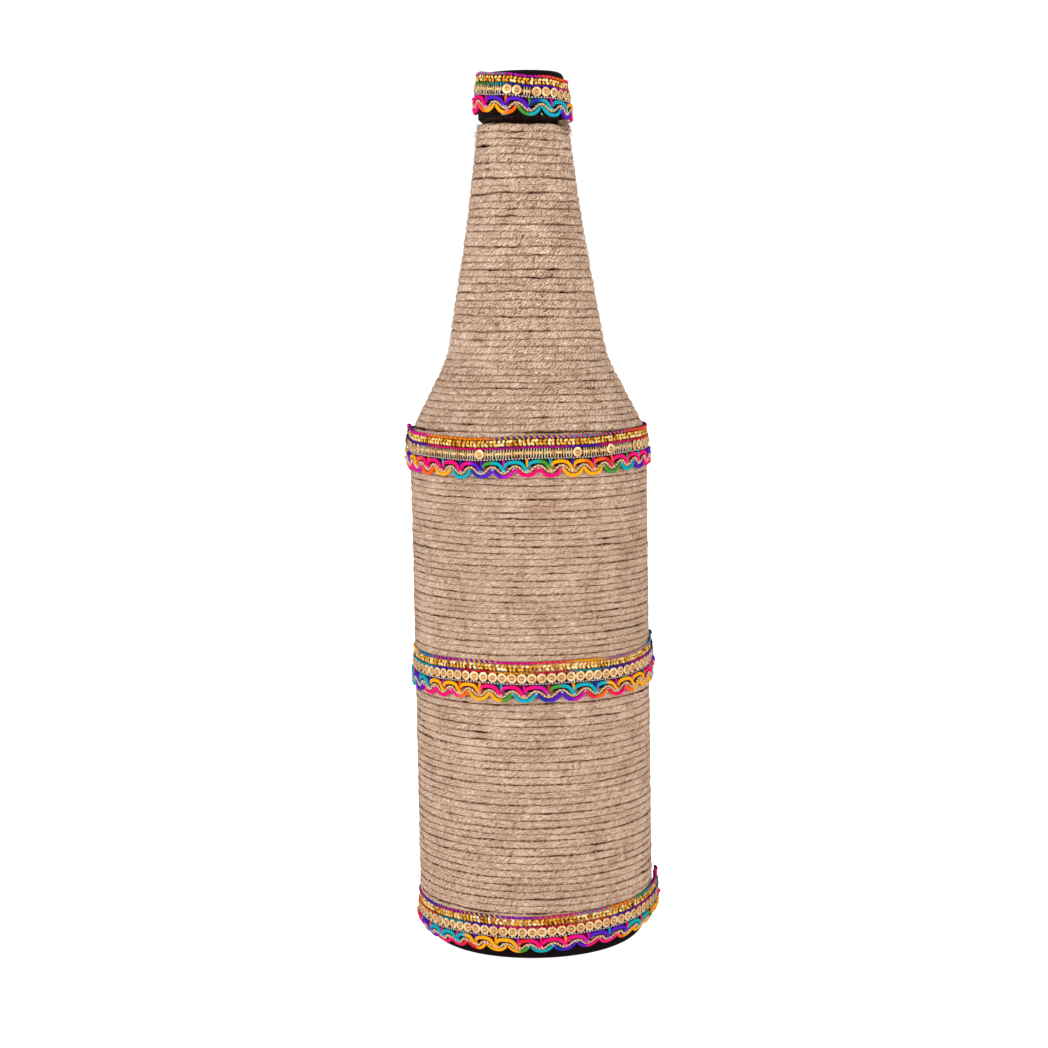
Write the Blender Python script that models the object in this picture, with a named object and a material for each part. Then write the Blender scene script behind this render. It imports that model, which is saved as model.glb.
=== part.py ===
"""A decorative long-neck bottle: dark glass, wound with jute twine and dressed with four lace trims.

Metres, +Z up. The origin is the centre of the plane that the bottle stands on. The side shown to
a viewer is the one that faces -Y, and every seam is at the back, at +Y.
"""

import math

import bmesh
import bpy

# Glass bottle: heights that add up to the whole, from the foot to the lip
BODY_HEIGHT = 0.1650
SHOULDER_RISE = 0.0242
NECK_RISE = 0.0742
FINISH_HEIGHT = 0.0160

# Glass bottle: outer radii and the rounds between them
BODY_RADIUS = 0.0360
NECK_FOOT_RADIUS = 0.0236
NECK_BEND_RADIUS = 0.0163
NECK_BEND_DROP = 0.0310
NECK_TOP_RADIUS = 0.0123
SHOULDER_ROUND = 0.0220
NECK_ROUND = 0.0300
HEEL_ROUND = 0.0060

# Glass bottle: walls, floor and foot
WALL = 0.0030
BASE_THICKNESS = 0.0050
INNER_HEEL_ROUND = 0.0070
BEARING_WIDTH = 0.0024
PUSH_UP_RISE = 0.0040

# Finish: bore, locking ring, undercut and neck ring, from the lip down
BORE_RADIUS = 0.0083
BORE_EDGE_ROUND = 0.0010
BORE_BLEND = 0.0040
LIP_ROUND = 0.0022
LOCKING_RING_RADIUS = 0.0133
LOCKING_RING_HEIGHT = 0.0050
RING_TAPER = 0.0010
UNDERCUT_RADIUS = 0.0125
UNDERCUT_HEIGHT = 0.0016
NECK_RING_RADIUS = 0.0142
NECK_RING_TAPER = 0.0016

# Jute twine
TWINE_DIAMETER = 0.0022
TWINE_GROOVE = 0.0007
NECK_TURN_PITCH = 0.00242
UPPER_TURN_PITCH = 0.00212
LOWER_TURN_PITCH = 0.00228
TWINE_START_DROP = 0.0010
TWINE_END_HEIGHT = 0.0068

# Lace trim: rows from its top edge down, one above the other
TOP_CORD = 0.0008
BRAID_HEIGHT = 0.0015
MID_CORD = 0.0007
SEQUIN_DIAMETER = 0.0026
EDGE_CORD = 0.0006
SCALLOP_CORD = 0.0009
GOLD_WAVE_CORD = 0.0006
WAVE_PITCH = 0.0073
WAVE_HEIGHT = 0.0016
NEST_GAP = 0.00045

# Lace trim: depths, outwards from what it lies on
TAPE_THICKNESS = 0.0003
TAPE_MARGIN = 0.0003
BRAID_THICKNESS = 0.0005
SEQUIN_THICKNESS = 0.0003

# Where each trim's top edge lies, and how much higher it runs at +X than at its middle
NECK_TRIM_DROP = 0.0014
SHOULDER_TRIM_RISE = 0.0008
WAIST_TRIM_HEIGHT = 0.0959
BASE_TRIM_HEIGHT = 0.0153
NECK_TRIM_LIFT = -0.0010
SHOULDER_TRIM_LIFT = 0.0008
WAIST_TRIM_LIFT = 0.0
BASE_TRIM_LIFT = 0.0012

# Clearances between separate pieces: glued on, and sewn side by side
GLUE_GAP = 0.0003
SEWN_GAP = 0.00025

# Facets
GLASS_FACETS = 32
WRAP_FACETS = 20
ARCH_COLUMNS = 3
WAVE_COLUMNS = 2
MERGE_DISTANCE = 0.00001
SMOOTH_ANGLE = math.radians(40)
SEAM_ANGLE = math.radians(90)
MM_IN_M = 1000

# Heights that follow from the lengths above
SHOULDER_TOP = BODY_HEIGHT + SHOULDER_RISE
NECK_TOP = SHOULDER_TOP + NECK_RISE
LIP_HEIGHT = NECK_TOP + FINISH_HEIGHT

FINISHES = {
    "dark_glass": ((0.030, 0.014, 0.008), 0.08, 0.0),
    "jute": ((0.560, 0.385, 0.235), 0.90, 0.0),
    "ground_tape": ((0.240, 0.060, 0.110), 0.80, 0.0),
    "dyed_cord": ((0.620, 0.060, 0.270), 0.60, 0.0),
    "gold_zari": ((0.800, 0.520, 0.160), 0.35, 0.8),
    "gold_sequin": ((0.900, 0.620, 0.260), 0.22, 0.9),
    "silver_cord": ((0.620, 0.580, 0.540), 0.45, 0.5),
    "satin_pink": ((0.870, 0.020, 0.240), 0.45, 0.0),
    "satin_teal": ((0.000, 0.380, 0.440), 0.45, 0.0),
}


def clear_scene():
    """Empties the scene that the script starts in."""
    for obj in list(bpy.data.objects):
        bpy.data.objects.remove(obj, do_unlink=True)


def finish_material(name, finish):
    """Makes one object's own Principled material from a named finish."""
    colour, roughness, metallic = FINISHES[finish]
    material = bpy.data.materials.new(name + "_" + finish)
    material.use_nodes = True
    shader = material.node_tree.nodes["Principled BSDF"]
    shader.inputs["Base Color"].default_value = (*colour, 1.0)
    shader.inputs["Roughness"].default_value = roughness
    shader.inputs["Metallic"].default_value = metallic
    return material


def add_piece(name, bm, finish, parent=None):
    """Turns a bmesh into a named, smooth-shaded object with its own material."""
    mesh = bpy.data.meshes.new(name)
    bm.to_mesh(mesh)
    bm.free()
    mesh.materials.append(finish_material(name, finish))
    mesh.shade_smooth()
    mesh.set_sharp_from_angle(angle=SMOOTH_ANGLE)
    piece = bpy.data.objects.new(name, mesh)
    piece.parent = parent
    bpy.context.scene.collection.objects.link(piece)
    return piece


def rounded(corners):
    """Gives the outline through corners of (radius, height, round, steps), each round drawn as an arc."""
    outline = []
    for i, (r, z, radius, steps) in enumerate(corners):
        if not radius:
            outline.append((r, z))
            continue
        back = unit(corners[i - 1][0] - r, corners[i - 1][1] - z)
        ahead = unit(corners[i + 1][0] - r, corners[i + 1][1] - z)
        half = math.acos(back[0] * ahead[0] + back[1] * ahead[1]) / 2
        inward = unit(back[0] + ahead[0], back[1] + ahead[1])
        reach = radius / math.sin(half)
        centre = (r + inward[0] * reach, z + inward[1] * reach)
        sweep = math.pi / 2 - half
        across = unit(ahead[0] - back[0], ahead[1] - back[1])
        for step in range(steps + 1):
            turn = sweep * (2 * step / steps - 1)
            outline.append(
                (
                    centre[0] + radius * (math.sin(turn) * across[0] - math.cos(turn) * inward[0]),
                    centre[1] + radius * (math.sin(turn) * across[1] - math.cos(turn) * inward[1]),
                )
            )
    return outline


def unit(x, y):
    """Scales a flat direction to length one."""
    length = math.hypot(x, y)
    return x / length, y / length


def neck_to_heel_corners():
    """The bottle's outside, from under the neck ring to the bearing ring."""
    bearing_radius = BODY_RADIUS - HEEL_ROUND
    return [
        (NECK_TOP_RADIUS, NECK_TOP, 0, 0),
        (NECK_BEND_RADIUS, NECK_TOP - NECK_BEND_DROP, 0, 0),
        (NECK_FOOT_RADIUS, SHOULDER_TOP, NECK_ROUND, 2),
        (BODY_RADIUS, BODY_HEIGHT, SHOULDER_ROUND, 3),
        (BODY_RADIUS, 0, HEEL_ROUND, 3),
        (bearing_radius - BEARING_WIDTH, 0, 0, 0),
    ]


def finish_corners():
    """The outside of the finish: lip, locking ring, undercut and neck ring."""
    ring_foot = LIP_HEIGHT - LOCKING_RING_HEIGHT
    undercut_top = ring_foot - RING_TAPER
    undercut_foot = undercut_top - UNDERCUT_HEIGHT
    neck_ring_top = undercut_foot - RING_TAPER
    neck_ring_foot = NECK_TOP + NECK_RING_TAPER
    return [
        (LOCKING_RING_RADIUS, LIP_HEIGHT, LIP_ROUND, 2),
        (LOCKING_RING_RADIUS, ring_foot, 0, 0),
        (UNDERCUT_RADIUS, undercut_top, 0, 0),
        (UNDERCUT_RADIUS, undercut_foot, 0, 0),
        (NECK_RING_RADIUS, neck_ring_top, 0, 0),
        (NECK_RING_RADIUS, neck_ring_foot, 0, 0),
    ]


def inner_corners():
    """The bottle's inside, from the middle of its floor up to the lip."""
    floor = BASE_THICKNESS
    return [
        (0, floor + PUSH_UP_RISE, 0, 0),
        (BODY_RADIUS - WALL - INNER_HEEL_ROUND, floor, 0, 0),
        (BODY_RADIUS - WALL, floor, INNER_HEEL_ROUND, 2),
        (BODY_RADIUS - WALL, BODY_HEIGHT, SHOULDER_ROUND, 2),
        (NECK_FOOT_RADIUS - WALL, SHOULDER_TOP, NECK_ROUND, 2),
        (NECK_BEND_RADIUS - WALL, NECK_TOP - NECK_BEND_DROP, 0, 0),
        (NECK_TOP_RADIUS - WALL, NECK_TOP - BORE_BLEND, 0, 0),
        (BORE_RADIUS, NECK_TOP, 0, 0),
        (BORE_RADIUS, LIP_HEIGHT, BORE_EDGE_ROUND, 2),
    ]


def push_up_outline():
    """The hollow under the foot, from inside the bearing ring to the axis."""
    edge = BODY_RADIUS - HEEL_ROUND - BEARING_WIDTH
    shares = (2 / 3, 1 / 3, 0)
    return [(edge * share, PUSH_UP_RISE * (1 - share * share)) for share in shares]


def glass_outline():
    """The whole section, from the inside floor, up, over the lip and down the outside."""
    corners = inner_corners() + finish_corners() + neck_to_heel_corners()
    return rounded(corners) + push_up_outline()


def build_glass():
    """Turns the section about the bottle's axis."""
    bm = bmesh.new()
    points = [bm.verts.new((r, 0, z)) for r, z in glass_outline()]
    for above, below in zip(points, points[1:]):
        bm.edges.new((above, below))
    bottle = add_piece("glass_bottle", bm, "dark_glass")
    turn = bottle.modifiers.new("turned_section", "SCREW")
    turn.axis = "Z"
    turn.angle = math.tau
    turn.steps = GLASS_FACETS
    turn.render_steps = GLASS_FACETS
    turn.use_merge_vertices = True
    turn.merge_threshold = MERGE_DISTANCE
    turn.use_smooth_shade = True


class WoundPath:
    """The line down the bottle's outside that the twine climbs along, measured from the neck ring."""

    def __init__(self):
        self.points = rounded(neck_to_heel_corners())
        self.normals = [self.normal_at(i) for i in range(len(self.points))]
        self.along = [0.0]
        for (r0, z0), (r1, z1) in zip(self.points, self.points[1:]):
            self.along.append(self.along[-1] + math.hypot(r1 - r0, z1 - z0))

    def normal_at(self, i):
        """The outward direction at point i, lengthened so that an offset wall keeps its thickness."""
        before = self.points[max(i - 1, 0)]
        here = self.points[i]
        after = self.points[min(i + 1, len(self.points) - 1)]
        first = unit(before[1] - here[1], here[0] - before[0]) if i else None
        last = unit(here[1] - after[1], after[0] - here[0]) if after != here else None
        first = first or last
        last = last or first
        middle = unit(first[0] + last[0], first[1] + last[1])
        stretch = middle[0] * first[0] + middle[1] * first[1]
        return middle[0] / stretch, middle[1] / stretch

    def offset(self, i, distance):
        """Point i, moved outwards."""
        (r, z), (nr, nz) = self.points[i], self.normals[i]
        return r + nr * distance, z + nz * distance

    def place(self, s, distance):
        """The point at s along the path, moved outwards."""
        i = max(k for k in range(len(self.along) - 1) if self.along[k] <= s)
        share = (s - self.along[i]) / (self.along[i + 1] - self.along[i])
        (r0, z0), (r1, z1) = self.offset(i, distance), self.offset(i + 1, distance)
        return r0 + (r1 - r0) * share, z0 + (z1 - z0) * share

    def at_height(self, height):
        """How far along the path the glass reaches a height."""
        for i in range(len(self.points) - 1):
            top, foot = self.points[i][1], self.points[i + 1][1]
            if foot <= height <= top and top > foot:
                share = (top - height) / (top - foot)
                return self.along[i] + (self.along[i + 1] - self.along[i]) * share
        raise ValueError("height lies off the wound path")


class Trim:
    """One lace trim's place: its name, top edge, lift and the radius that it lies on."""

    def __init__(self, name, top, lift, seat_radius):
        self.name = name
        self.top = top
        self.lift = lift
        self.seat_radius = seat_radius

    def hidden(self, path):
        """The stretch of the wound path that the trim covers all the way round."""
        margin = abs(self.lift) + TAPE_MARGIN
        upper = path.at_height(self.top - margin)
        lower = path.at_height(self.top - trim_height() + margin)
        return upper, lower


def scallop_levels():
    """Heights of the gold wave's crests and troughs under a trim's top edge, and the step between cords."""
    rows = TOP_CORD + BRAID_HEIGHT + MID_CORD + SEQUIN_DIAMETER + EDGE_CORD + 5 * SEWN_GAP
    step = SCALLOP_CORD / 2 + NEST_GAP + GOLD_WAVE_CORD / 2
    crest = -(rows + SCALLOP_CORD / 2) - step
    return crest, crest - WAVE_HEIGHT, step


def trim_height():
    """A trim's whole height, top edge to lower scallops."""
    trough, step = scallop_levels()[1:]
    return -(trough - step) + SCALLOP_CORD / 2


def turn_stretches(path, shoulder, waist):
    """The wound path in three stretches of (start, end, pitch), split under the trims."""
    start = path.at_height(NECK_TOP - TWINE_START_DROP)
    end = path.at_height(TWINE_END_HEIGHT)
    first = sum(shoulder.hidden(path)) / 2
    second = sum(waist.hidden(path)) / 2
    return [
        (start, first, NECK_TURN_PITCH),
        (first, second, UPPER_TURN_PITCH),
        (second, end, LOWER_TURN_PITCH),
    ]


def along_at_turn(stretches, turn):
    """How far along the path a count of turns reaches, or None past the end."""
    for start, end, pitch in stretches:
        turns = (end - start) / pitch
        if turn <= turns:
            return start + turn * pitch
        turn -= turns
    return None


def pitch_at(stretches, s):
    """The pitch of the turns at s along the path."""
    return next(pitch for start, end, pitch in stretches if s <= end)


def twine_rows(stretches, hidden, column):
    """The twine's outside at one column: (s, distance from the glass), a groove and a crest for each turn."""
    start, end = stretches[0][0], stretches[-1][1]
    crest, groove = TWINE_DIAMETER, TWINE_DIAMETER - TWINE_GROOVE
    level = [(start, groove), (end, groove)]
    for upper, lower in hidden:
        level += [(upper, crest), (min(lower, end), crest)] if lower < end else [(upper, crest)]
    rows = list(level)
    half_turn = 0
    while True:
        s = along_at_turn(stretches, half_turn / 2 + column / WRAP_FACETS)
        if s is None:
            break
        clear = pitch_at(stretches, s) / 4
        covered = any(upper < s < lower for upper, lower in hidden)
        if not covered and all(abs(s - edge) > clear for edge, _ in level):
            rows.append((s, crest if half_turn % 2 else groove))
        half_turn += 1
    return sorted(rows)


def turned_point(bm, point, angle, spread=1):
    """Adds the vertex of a (radius, height) point turned to an angle, its radius widened by spread."""
    r, z = point
    return bm.verts.new((r * spread * math.cos(angle), r * spread * math.sin(angle), z))


def zip_columns(bm, left, right):
    """Fills the strip between two columns of (s, vertex), which share their first and last s."""
    i = j = 0
    while i < len(left) - 1 or j < len(right) - 1:
        if j == len(right) - 1 or (i < len(left) - 1 and left[i + 1][0] <= right[j + 1][0]):
            bm.faces.new((left[i][1], left[i + 1][1], right[j][1]))
            i += 1
        else:
            bm.faces.new((left[i][1], right[j + 1][1], right[j][1]))
            j += 1


def build_twine(path, shoulder, waist, base):
    """Winds the twine: one unbroken helical ridge from the neck ring to the heel, over a plain back."""
    stretches = turn_stretches(path, shoulder, waist)
    start, end = stretches[0][0], stretches[-1][1]
    hidden = [trim.hidden(path) for trim in (shoulder, waist, base)]
    backs = [start] + [s for s in path.along if start < s < end] + [end]
    spread = 1 / math.cos(math.pi / WRAP_FACETS)
    bm = bmesh.new()
    outer, inner = [], []
    for column in range(WRAP_FACETS):
        angle = SEAM_ANGLE + math.tau * column / WRAP_FACETS
        rows = twine_rows(stretches, hidden, column)
        outer.append([(s, turned_point(bm, path.place(s, d), angle)) for s, d in rows])
        inner.append([(s, turned_point(bm, path.place(s, GLUE_GAP), angle, spread)) for s in backs])
    for column in range(WRAP_FACETS):
        after = (column + 1) % WRAP_FACETS
        zip_columns(bm, outer[column], outer[after])
        zip_columns(bm, inner[after], inner[column])
        for row in (0, -1):
            bm.faces.new(
                (
                    outer[column][row][1],
                    outer[after][row][1],
                    inner[after][row][1],
                    inner[column][row][1],
                )
            )
    bmesh.ops.recalc_face_normals(bm, faces=bm.faces)
    add_piece("jute_twine", bm, "jute")
    report_twine(path, stretches)


def report_twine(path, stretches):
    """Prints the winding's count of turns, its length and its thinnest stretch over the glass."""
    turns = sum((end - start) / pitch for start, end, pitch in stretches)
    length = 0.0
    for start, end, pitch in stretches:
        middle = path.place((start + end) / 2, TWINE_DIAMETER / 2)[0]
        length += math.tau * middle * (end - start) / pitch
    spread = 1 / math.cos(math.pi / WRAP_FACETS)
    wall = min(
        path.place(s, TWINE_DIAMETER - TWINE_GROOVE)[0] - path.place(s, GLUE_GAP)[0] * spread
        for s in path.along
        if stretches[0][0] < s < stretches[-1][1]
    )
    print(f"jute twine: {turns:.1f} turns, {length:.2f} m, least wall {wall * MM_IN_M:.2f} mm")


def swept_ring(name, columns, section_at, finish, parent, start=SEAM_ANGLE):
    """Adds a closed ring from the loop of (radius, height) points that section_at gives at each angle."""
    bm = bmesh.new()
    loops = []
    for column in range(columns):
        angle = start + math.tau * column / columns
        loops.append([turned_point(bm, point, angle) for point in section_at(angle)])
    for here, there in zip(loops, loops[1:] + loops[:1]):
        for k in range(len(here)):
            bm.faces.new((here[k - 1], here[k], there[k], there[k - 1]))
    bmesh.ops.recalc_face_normals(bm, faces=bm.faces)
    return add_piece(name, bm, finish, parent)


def flat_row(inner, thickness, top, height):
    """The section of a flat band."""
    outer, foot = inner + thickness, top - height
    return [(inner, top), (outer, top), (outer, foot), (inner, foot)]


def cord_row(inner, diameter, top):
    """The section of a thin cord, flat at its sewn back."""
    foot, middle = top - diameter, top - diameter / 2
    return [(inner, top), (inner + diameter, middle), (inner, foot)]


def add_row(trim, part, finish, section, parent):
    """Adds one level row of a trim, which follows the trim's lift."""

    def section_at(angle):
        lift = trim.lift * math.cos(angle)
        return [(r, z + lift) for r, z in section]

    swept_ring(trim.name + "_" + part, WRAP_FACETS, section_at, finish, parent)


def add_scallops(trim, part, finish, wave, parent):
    """Adds one waved cord: (columns in a wave, phase of the first, height at a phase, size, inner radius)."""
    columns_per_wave, first_phase, level_at, diameter, inner = wave
    waves = round(math.tau * inner / WAVE_PITCH)
    rise = math.hypot(1, 2 * WAVE_HEIGHT / WAVE_PITCH)
    start = SEAM_ANGLE + math.tau * first_phase / waves

    def section_at(angle):
        phase = (angle - SEAM_ANGLE) * waves / math.tau
        level = level_at(phase % 1) + trim.lift * math.cos(angle)
        half = diameter / 2 * rise
        return [(inner, level + half), (inner + diameter, level), (inner, level - half)]

    columns = waves * columns_per_wave
    swept_ring(trim.name + "_" + part, columns, section_at, finish, parent, start)


def build_trim_rows(trim, face, parent):
    """Sews the level rows to the tape's face, from the top edge down."""
    top = 0.0
    add_row(trim, "top_cord", "dyed_cord", cord_row(face, TOP_CORD, top), parent)
    top -= TOP_CORD + SEWN_GAP
    add_row(trim, "zari_braid", "gold_zari", flat_row(face, BRAID_THICKNESS, top, BRAID_HEIGHT), parent)
    top -= BRAID_HEIGHT + SEWN_GAP
    add_row(trim, "mid_cord", "dyed_cord", cord_row(face, MID_CORD, top), parent)
    top -= MID_CORD + SEWN_GAP
    sequins = flat_row(face, SEQUIN_THICKNESS, top, SEQUIN_DIAMETER)
    add_row(trim, "sequins", "gold_sequin", sequins, parent)
    top -= SEQUIN_DIAMETER + SEWN_GAP
    add_row(trim, "edge_cord", "silver_cord", cord_row(face, EDGE_CORD, top), parent)
    return top - EDGE_CORD


def build_trim_scallops(trim, inner, parent):
    """Hangs the two satin cords and the gold wave between them under the tape."""
    crest, trough, step = scallop_levels()

    def arches(phase):
        return (trough if abs(phase - 1 / 2) > 1 / 4 else crest) + step

    def wave(phase):
        return trough if abs(phase - 1 / 2) > 1 / 4 else crest

    def loops(phase):
        return (crest if abs(phase - 1 / 2) < 1 / 12 else trough) - step

    upper = (ARCH_COLUMNS, 0, arches, SCALLOP_CORD, inner)
    middle = (WAVE_COLUMNS, 0, wave, GOLD_WAVE_CORD, inner)
    lower = (ARCH_COLUMNS, 1 / 2, loops, SCALLOP_CORD, inner)
    add_scallops(trim, "upper_scallops", "satin_pink", upper, parent)
    add_scallops(trim, "gold_wave", "gold_zari", middle, parent)
    add_scallops(trim, "lower_scallops", "satin_teal", lower, parent)


def build_trim(trim):
    """Builds one whole trim under an empty at its top edge."""
    parent = bpy.data.objects.new(trim.name + "_top", None)
    parent.location = (0, 0, trim.top)
    bpy.context.scene.collection.objects.link(parent)
    back = trim.seat_radius + GLUE_GAP
    face = back + TAPE_THICKNESS + SEWN_GAP
    foot = build_trim_rows(trim, face, parent)
    tape = flat_row(back, TAPE_THICKNESS, -TAPE_MARGIN, -foot - TAPE_MARGIN)
    add_row(trim, "tape", "ground_tape", tape, parent)
    build_trim_scallops(trim, back + TAPE_THICKNESS, parent)


def main():
    """Builds the bottle, its twine and its four trims."""
    clear_scene()
    build_glass()
    path = WoundPath()
    wrapped = BODY_RADIUS + TWINE_DIAMETER
    ringed = NECK_RING_RADIUS / math.cos(math.pi / WRAP_FACETS)
    neck = Trim("neck", LIP_HEIGHT - NECK_TRIM_DROP, NECK_TRIM_LIFT, ringed)
    shoulder = Trim("shoulder", BODY_HEIGHT + SHOULDER_TRIM_RISE, SHOULDER_TRIM_LIFT, wrapped)
    waist = Trim("waist", WAIST_TRIM_HEIGHT, WAIST_TRIM_LIFT, wrapped)
    base = Trim("base", BASE_TRIM_HEIGHT, BASE_TRIM_LIFT, wrapped)
    build_twine(path, shoulder, waist, base)
    for trim in (neck, shoulder, waist, base):
        build_trim(trim)


main()
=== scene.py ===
"""A dark long-neck bottle wound with jute twine and dressed with four lengths of sequinned lace trim.

Metres, +Z up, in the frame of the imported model: the bottle stands on z = 0 about the Z axis, and the
side that a viewer sees faces -Y. A bearing is an angle round the bottle from that side, in radians,
and grows towards +X.
"""

import logging
import math
from collections.abc import Callable
from dataclasses import dataclass, field
from enum import Enum

import bpy
import numpy as np
from mathutils import Euler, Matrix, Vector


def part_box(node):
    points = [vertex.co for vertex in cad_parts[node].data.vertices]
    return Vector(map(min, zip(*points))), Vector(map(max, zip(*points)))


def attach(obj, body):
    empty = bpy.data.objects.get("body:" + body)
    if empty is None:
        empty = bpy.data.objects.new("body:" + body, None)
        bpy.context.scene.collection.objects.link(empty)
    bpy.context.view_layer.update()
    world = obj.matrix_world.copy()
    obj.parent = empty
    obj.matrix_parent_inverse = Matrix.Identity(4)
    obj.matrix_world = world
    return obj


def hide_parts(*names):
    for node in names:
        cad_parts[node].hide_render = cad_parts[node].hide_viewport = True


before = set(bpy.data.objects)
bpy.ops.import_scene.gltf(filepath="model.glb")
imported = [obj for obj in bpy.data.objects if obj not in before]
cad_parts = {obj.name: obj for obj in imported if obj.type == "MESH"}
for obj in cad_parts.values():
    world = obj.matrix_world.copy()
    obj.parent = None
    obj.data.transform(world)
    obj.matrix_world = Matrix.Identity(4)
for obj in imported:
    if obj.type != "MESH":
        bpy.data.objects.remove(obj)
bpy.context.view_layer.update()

MM = 0.001
BODY = "root"
LOG = logging.getLogger("decorative_bottle")
Array = np.ndarray
Outline = list[tuple[float, float]]


def linear(hex_colour: str) -> tuple[float, float, float, float]:
    """Turns an sRGB hex colour into linear red, green, blue and alpha.

    Args:
        hex_colour: The colour as "#RRGGBB".

    Returns:
        The linear colour, fully opaque.
    """
    channels = [int(hex_colour[i:i + 2], 16) / 255 for i in (1, 3, 5)]
    red, green, blue = (c / 12.92 if c <= 0.04045 else ((c + 0.055) / 1.055) ** 2.4 for c in channels)
    return red, green, blue, 1.0


def feed(node: bpy.types.Node, inputs: dict) -> None:
    """Gives a node's inputs their values and links.

    Args:
        node: The node.
        inputs: Values, or sockets to link, by input name or number.
    """
    for name, value in inputs.items():
        if isinstance(value, bpy.types.NodeSocket):
            node.id_data.links.new(value, node.inputs[name])
        else:
            node.inputs[name].default_value = value


def add_node(tree: bpy.types.NodeTree, kind: str, settings: dict | None = None,
             inputs: dict | None = None, stops: list | None = None) -> bpy.types.Node:
    """Adds a shader node to a tree, with its settings, values and links.

    Args:
        tree: The node tree.
        kind: The node's type name, after "ShaderNode".
        settings: Attributes to set on the node.
        inputs: Values, or sockets to link, by input name or number.
        stops: Positions and hex colours of a colour ramp.

    Returns:
        The new node.
    """
    node = tree.nodes.new("ShaderNode" + kind)
    for name, value in (settings or {}).items():
        setattr(node, name, value)
    feed(node, inputs or {})
    for i, (position, colour) in enumerate(stops or []):
        ramp = node.color_ramp.elements
        stop = ramp[i] if i < len(ramp) else ramp.new(position)
        stop.position = position
        stop.color = linear(colour)
    return node


def smooth(share: Array) -> Array:
    """Eases a share from 0 to 1, and holds it at both ends."""
    held = np.clip(share, 0.0, 1.0)
    return held * held * (3.0 - 2.0 * held)


def wander(along: Array, step: float, seed: int) -> Array:
    """Gives an unrepeating smooth wave between -1 and 1.

    Args:
        along: Where the wave is read.
        step: The distance over which it changes its mind.
        seed: Which of the waves this is.

    Returns:
        The wave's value at each place.
    """
    place = (along - np.min(along)) / step
    count = int(np.max(place)) + 2
    values = np.random.default_rng(seed).uniform(-1.0, 1.0, count)
    before = place.astype(int)
    share = smooth(place - before)
    return values[before] * (1.0 - share) + values[before + 1] * share


def unit(rows: Array) -> Array:
    """Scales each row of directions to length one."""
    return rows / np.linalg.norm(rows, axis=-1, keepdims=True)


def round_section(sides: int, across: float, out: float) -> Array:
    """Gives a cord's section, as (across, out) points that start on its outer side.

    Args:
        sides: How many points.
        across: Half its width along the surface that it lies on.
        out: Half its height off that surface.

    Returns:
        The section's points.
    """
    turn = np.arange(sides) * math.tau / sides
    return np.stack((across * np.sin(turn), out * np.cos(turn)), axis=1)


class Dye(Enum):
    """Colours of the space-dyed threads."""

    PINK = "#F2006E"
    MAGENTA = "#CC0A96"
    RED = "#DE1A34"
    ORANGE = "#F05A0C"
    YELLOW = "#F2A000"
    GREEN = "#3F8E2C"
    TEAL = "#00A0AE"
    BLUE = "#1C2E9C"
    VIOLET = "#5412B8"


DYES = {dye.name[0]: np.array(linear(dye.value)[:3]) for dye in Dye}
UNDYED = np.ones(3)


@dataclass
class Stamp:
    """A small shape that is modelled once and copied many times."""

    points: Array
    faces: list[list[int]]
    tones: Array

    @classmethod
    def of(cls, model: bpy.types.Object, tone: Callable[[Array], Array]) -> "Stamp":
        """Takes a modelled object's mesh as a stamp, and removes the object.

        Args:
            model: The object.
            tone: Gives how bright the stamp is at each of its points.

        Returns:
            The stamp.
        """
        points = np.array([vertex.co for vertex in model.data.vertices])
        faces = [list(polygon.vertices) for polygon in model.data.polygons]
        bpy.data.objects.remove(model, do_unlink=True)
        return cls(points, faces, tone(points))


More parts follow.
